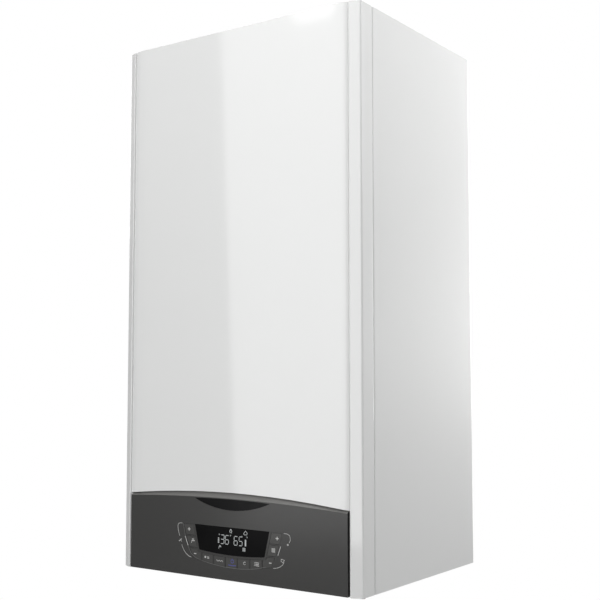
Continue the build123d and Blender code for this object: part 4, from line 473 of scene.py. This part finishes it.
marks = Marks()
for height in (28.4, 26.5, 24.6):
    marks.dot(38.9, height, 0.55, sides=8)
    marks.bar(43.2, height, 6.0, MEDIUM)
marks.place("key_menu_mark", "key_menu", print_grey, "key_plastic")

# light outlines beside the keys, with small signs in them
marks = Marks()
marks.stroke(
    smooth((-85.4, 69.4), (-90.6, 69.0), (-93.4, 66.2), (-92.8, 60.0), (-90.4, 51.8)), HAIRLINE
)
marks.stroke([(-91.4, 44.6), (-86.4, 48.2)], BOLD)
marks.stroke([(-89.6, 47.6), (-86.6, 44.4)], HAIRLINE)
marks.stroke(
    smooth((-86.4, 40.4), (-82.9, 33.9), (-78.5, 29.4), (-74.0, 26.4), (-69.1, 24.9)), HAIRLINE
)
marks.stroke(
    smooth((86.0, 69.5), (91.8, 69.2), (95.3, 66.6), (96.0, 62.0), (94.2, 58.4)), HAIRLINE
)
marks.ring(92.2, 55.8, 0.9, 0.7)
marks.stroke([(82.0, 36.9), (86.9, 36.0), (84.6, 32.6), (81.4, 34.4)], HAIRLINE, closed=True)
marks.stroke(
    smooth((86.4, 33.2), (83.8, 29.6), (79.3, 26.6), (74.2, 24.9), (69.4, 24.2)), HAIRLINE
)
marks.stroke([(-80.2, 52.3), (-75.0, 40.2)], MEDIUM)
marks.stroke([(80.9, 52.6), (76.6, 41.0)], MEDIUM)
marks.place("panel_outlines", "fascia", print_grey, "fascia_plastic")

# faint rim round the keys
marks = Marks()
marks.stroke([(-83.4, 69.4), (-80.2, 52.6)], HAIRLINE)
marks.stroke(
    smooth((-74.8, 39.8), (-69.6, 30.4), (-59.0, 24.6), (-38.0, 20.2), (-12.0, 17.6)), HAIRLINE
)
marks.stroke(smooth((-12.0, 17.6), (14.0, 17.6), (38.0, 20.0), (58.0, 24.6)), HAIRLINE)
marks.place("panel_rim", "fascia", rim_grey, "fascia_plastic")

# ---------------------------------------------------------------- display

DIGIT_WIDTH = 5.6
DIGIT_HEIGHT = 11.4
DIGITS_FOOT = 47.8
SEGMENT = 0.9
SEGMENT_GAP = 0.35  # at each end of a segment
SLANT = 0.07
LIT_SEGMENTS = {"3": "abcdg", "6": "acdefg", "5": "acdfg"}
SIGNS_HEIGHT = 43.2  # tap and radiator


def digit(marks, x, h, sign):
    """One seven-segment figure, its lower left corner at the place."""
    wide, half, tall = DIGIT_WIDTH, DIGIT_HEIGHT / 2, DIGIT_HEIGHT
    ends = {
        "a": ((0, tall), (wide, tall)),
        "b": ((wide, tall), (wide, half)),
        "c": ((wide, half), (wide, 0)),
        "d": ((0, 0), (wide, 0)),
        "e": ((0, half), (0, 0)),
        "f": ((0, tall), (0, half)),
        "g": ((0, half), (wide, half)),
    }
    for name in LIT_SEGMENTS[sign]:
        start, end = (Vector(p) for p in ends[name])
        along = (end - start).normalized()
        start, end = start + along * SEGMENT_GAP, end - along * SEGMENT_GAP
        tip = along * SEGMENT / 2
        across = Vector((-along.y, along.x)) * SEGMENT / 2
        upper = [start, start + tip + across, end - tip + across]
        lower = [end, end - tip - across, start + tip - across]
        marks.solid([(x + p.x + SLANT * p.y, h + p.y) for p in upper + lower])


marks = Marks()
for x, sign in ((-18.2, "3"), (-10.4, "6"), (4.4, "6"), (12.6, "5")):
    digit(marks, x, DIGITS_FOOT, sign)
# gauges beside the figures
for height in (49.0, 50.9, 52.8, 54.7):
    marks.bar(-21.6, height, 2.2, 1.3)
marks.bar(23.9, 52.0, 2.3, 8.4)
# small signs round them: degree rings, flame, house, tap and radiator
for x in (-20.4, -1.4, 17.9, 26.4):
    marks.ring(x, 59.6, 0.7, 0.4)
marks.stroke(smooth((-2.6, 64.0), (-2.0, 66.4), (-0.7, 67.6), (0.6, 65.8), (0.9, 63.8)), BOLD)
marks.stroke([(-2.4, 63.4), (0.8, 63.2)], MEDIUM)
marks.stroke(
    [(20.6, 64.0), (23.8, 67.4), (26.6, 64.6), (26.0, 62.6), (21.4, 62.4)], 0.6, closed=True
)
tap(marks, -19.2, SIGNS_HEIGHT, 4.6)
radiator(marks, 21.4, SIGNS_HEIGHT, 5.0, 3)
marks.place("display_figures", "display_window", lit_grey, "display_black")

# ---------------------------------------------------------------- studio

FLOOR_DROP = 1.1  # below the casing
FLOOR_SOLID = 0.8  # the floor is whole as far as this from its middle
FLOOR_REACH = 3.4  # and has faded out here
AMBIENT = 0.22
BACKDROP = 1.0


def blend(tree, share, first, second, output):
    """Feeds the output node with a blend of two shaders."""
    either = tree.nodes.new("ShaderNodeMixShader")
    tree.links.new(share, either.inputs["Fac"])
    tree.links.new(first, either.inputs[1])
    tree.links.new(second, either.inputs[2])
    tree.links.new(either.outputs["Shader"], output.inputs["Surface"])


floor_paint = Paint("floor_pale", (0.80, 0.80, 0.80), rough=0.6)
floor_paint.mottled(0.01, floor_paint.noise(3))
middle = floor_paint.nodes.new("ShaderNodeTexCoord")
distance = floor_paint.nodes.new("ShaderNodeVectorMath")
distance.operation = "LENGTH"
fade = floor_paint.nodes.new("ShaderNodeMapRange")
fade.interpolation_type = "SMOOTHSTEP"
fade.inputs["From Min"].default_value = FLOOR_SOLID
fade.inputs["From Max"].default_value = FLOOR_REACH
clear = floor_paint.nodes.new("ShaderNodeBsdfTransparent")
floor_paint.links.new(middle.outputs["Object"], distance.inputs[0])
floor_paint.links.new(distance.outputs["Value"], fade.inputs["Value"])
blend(
    floor_paint.material.node_tree,
    fade.outputs["Result"],
    floor_paint.shader.outputs["BSDF"],
    clear.outputs["BSDF"],
    floor_paint.nodes["Material Output"],
)

floor_corners = [(-1, -1), (1, -1), (1, 1), (-1, 1)]
floor_mesh = bpy.data.meshes.new("studio_floor")
floor_mesh.from_pydata(
    [(x * FLOOR_REACH, y * FLOOR_REACH, 0) for x, y in floor_corners], [], [(0, 1, 2, 3)]
)
floor_mesh.materials.append(floor_paint.material)
floor = bpy.data.objects.new("studio_floor", floor_mesh)
floor.location = (0, 0, BOTTOM - FLOOR_DROP)
bpy.context.scene.collection.objects.link(floor)


def softbox(name, place, target, width, tall, glow, lean=0.0):
    """Rectangular lamp of the given brightness, turned to the target and leaning sideways."""
    data = bpy.data.lights.new(name, "AREA")
    data.shape = "RECTANGLE"
    data.size = width
    data.size_y = tall
    data.energy = glow * math.pi * width * tall
    light = bpy.data.objects.new(name, data)
    light.location = place
    facing = (Vector(target) - Vector(place)).to_track_quat("-Z", "Y").to_matrix()
    light.rotation_euler = (facing @ Matrix.Rotation(math.radians(lean), 3, "Z")).to_euler()
    light.visible_camera = False
    bpy.context.scene.collection.objects.link(light)


# the tall front lamp's straight edge is mirrored in the cover, as in the photograph
softbox(
    "front_lamp",
    (-1.197, -3.924, 0.225),
    (0.957, -0.706, 0.225),
    width=2.7,
    tall=2.75,
    glow=2.2,
    lean=2.0,
)
softbox("upper_lamp", (0, -1.6, 1.3), (0, -0.3, -0.2), width=2.4, tall=1.5, glow=2.35)
# this one is mirrored in the bevelled strip alone
softbox("strip_lamp", (1.34, -3.3, 0.15), (0.15, -0.3, 0.1), width=0.7, tall=2.6, glow=2.85)
# lamps for the sides; the rear ones brighten the right side towards the wall
softbox("side_lamp", (1.7, 1.0, 0.75), (0.2, -0.1, -0.25), width=1.2, tall=1.2, glow=2.5)
softbox("side_upper_lamp", (1.5, 0.2, 1.2), (0.2, -0.1, -0.2), width=1.0, tall=1.0, glow=4.5)
softbox("rear_lamp", (0.7, 2.6, 0.5), (0.2, 0, -0.2), width=1.0, tall=2.3, glow=7.0)
softbox("rear_low_lamp", (0.7, 2.6, -0.5), (0.2, 0, -0.6), width=1.0, tall=1.2, glow=2.4)
softbox("left_lamp", (-2.4, 1.3, 0.9), (-0.2, 0, -0.3), width=1.6, tall=1.6, glow=5.5)

# the camera sees a white backdrop, and the casing is lit by a low even light
world = bpy.data.worlds.new("studio")
world.use_nodes = True
sky = world.node_tree
background = sky.nodes["Background"]
background.inputs["Color"].default_value = (AMBIENT, AMBIENT, AMBIENT, 1)
backdrop = sky.nodes.new("ShaderNodeBackground")
backdrop.inputs["Color"].default_value = (BACKDROP, BACKDROP, BACKDROP, 1)
blend(
    sky,
    sky.nodes.new("ShaderNodeLightPath").outputs["Is Camera Ray"],
    background.outputs["Background"],
    backdrop.outputs["Background"],
    sky.nodes["World Output"],
)

scene = bpy.context.scene
scene.world = world
scene.view_settings.view_transform = "Standard"
scene.view_settings.look = "None"

# ---------------------------------------------------------------- camera

PHOTO_PIXELS = 600
FOCAL_PIXELS = 1040.0  # fitted to the photograph
SENSOR = 36.0  # millimetres
EYE = (0.8744, -1.4088, -0.4321)
TURN = math.radians(35.0)  # to the left
TILT = math.radians(4.27)  # upward

camera_data = bpy.data.cameras.new("camera")
camera_data.sensor_width = SENSOR
camera_data.lens = FOCAL_PIXELS / PHOTO_PIXELS * SENSOR
camera = bpy.data.objects.new("camera", camera_data)
camera.location = EYE
level = math.cos(TILT)
forward = Vector((-math.sin(TURN) * level, math.cos(TURN) * level, math.sin(TILT)))
camera.rotation_euler = forward.to_track_quat("-Z", "Y").to_euler()
scene.collection.objects.link(camera)
scene.camera = camera
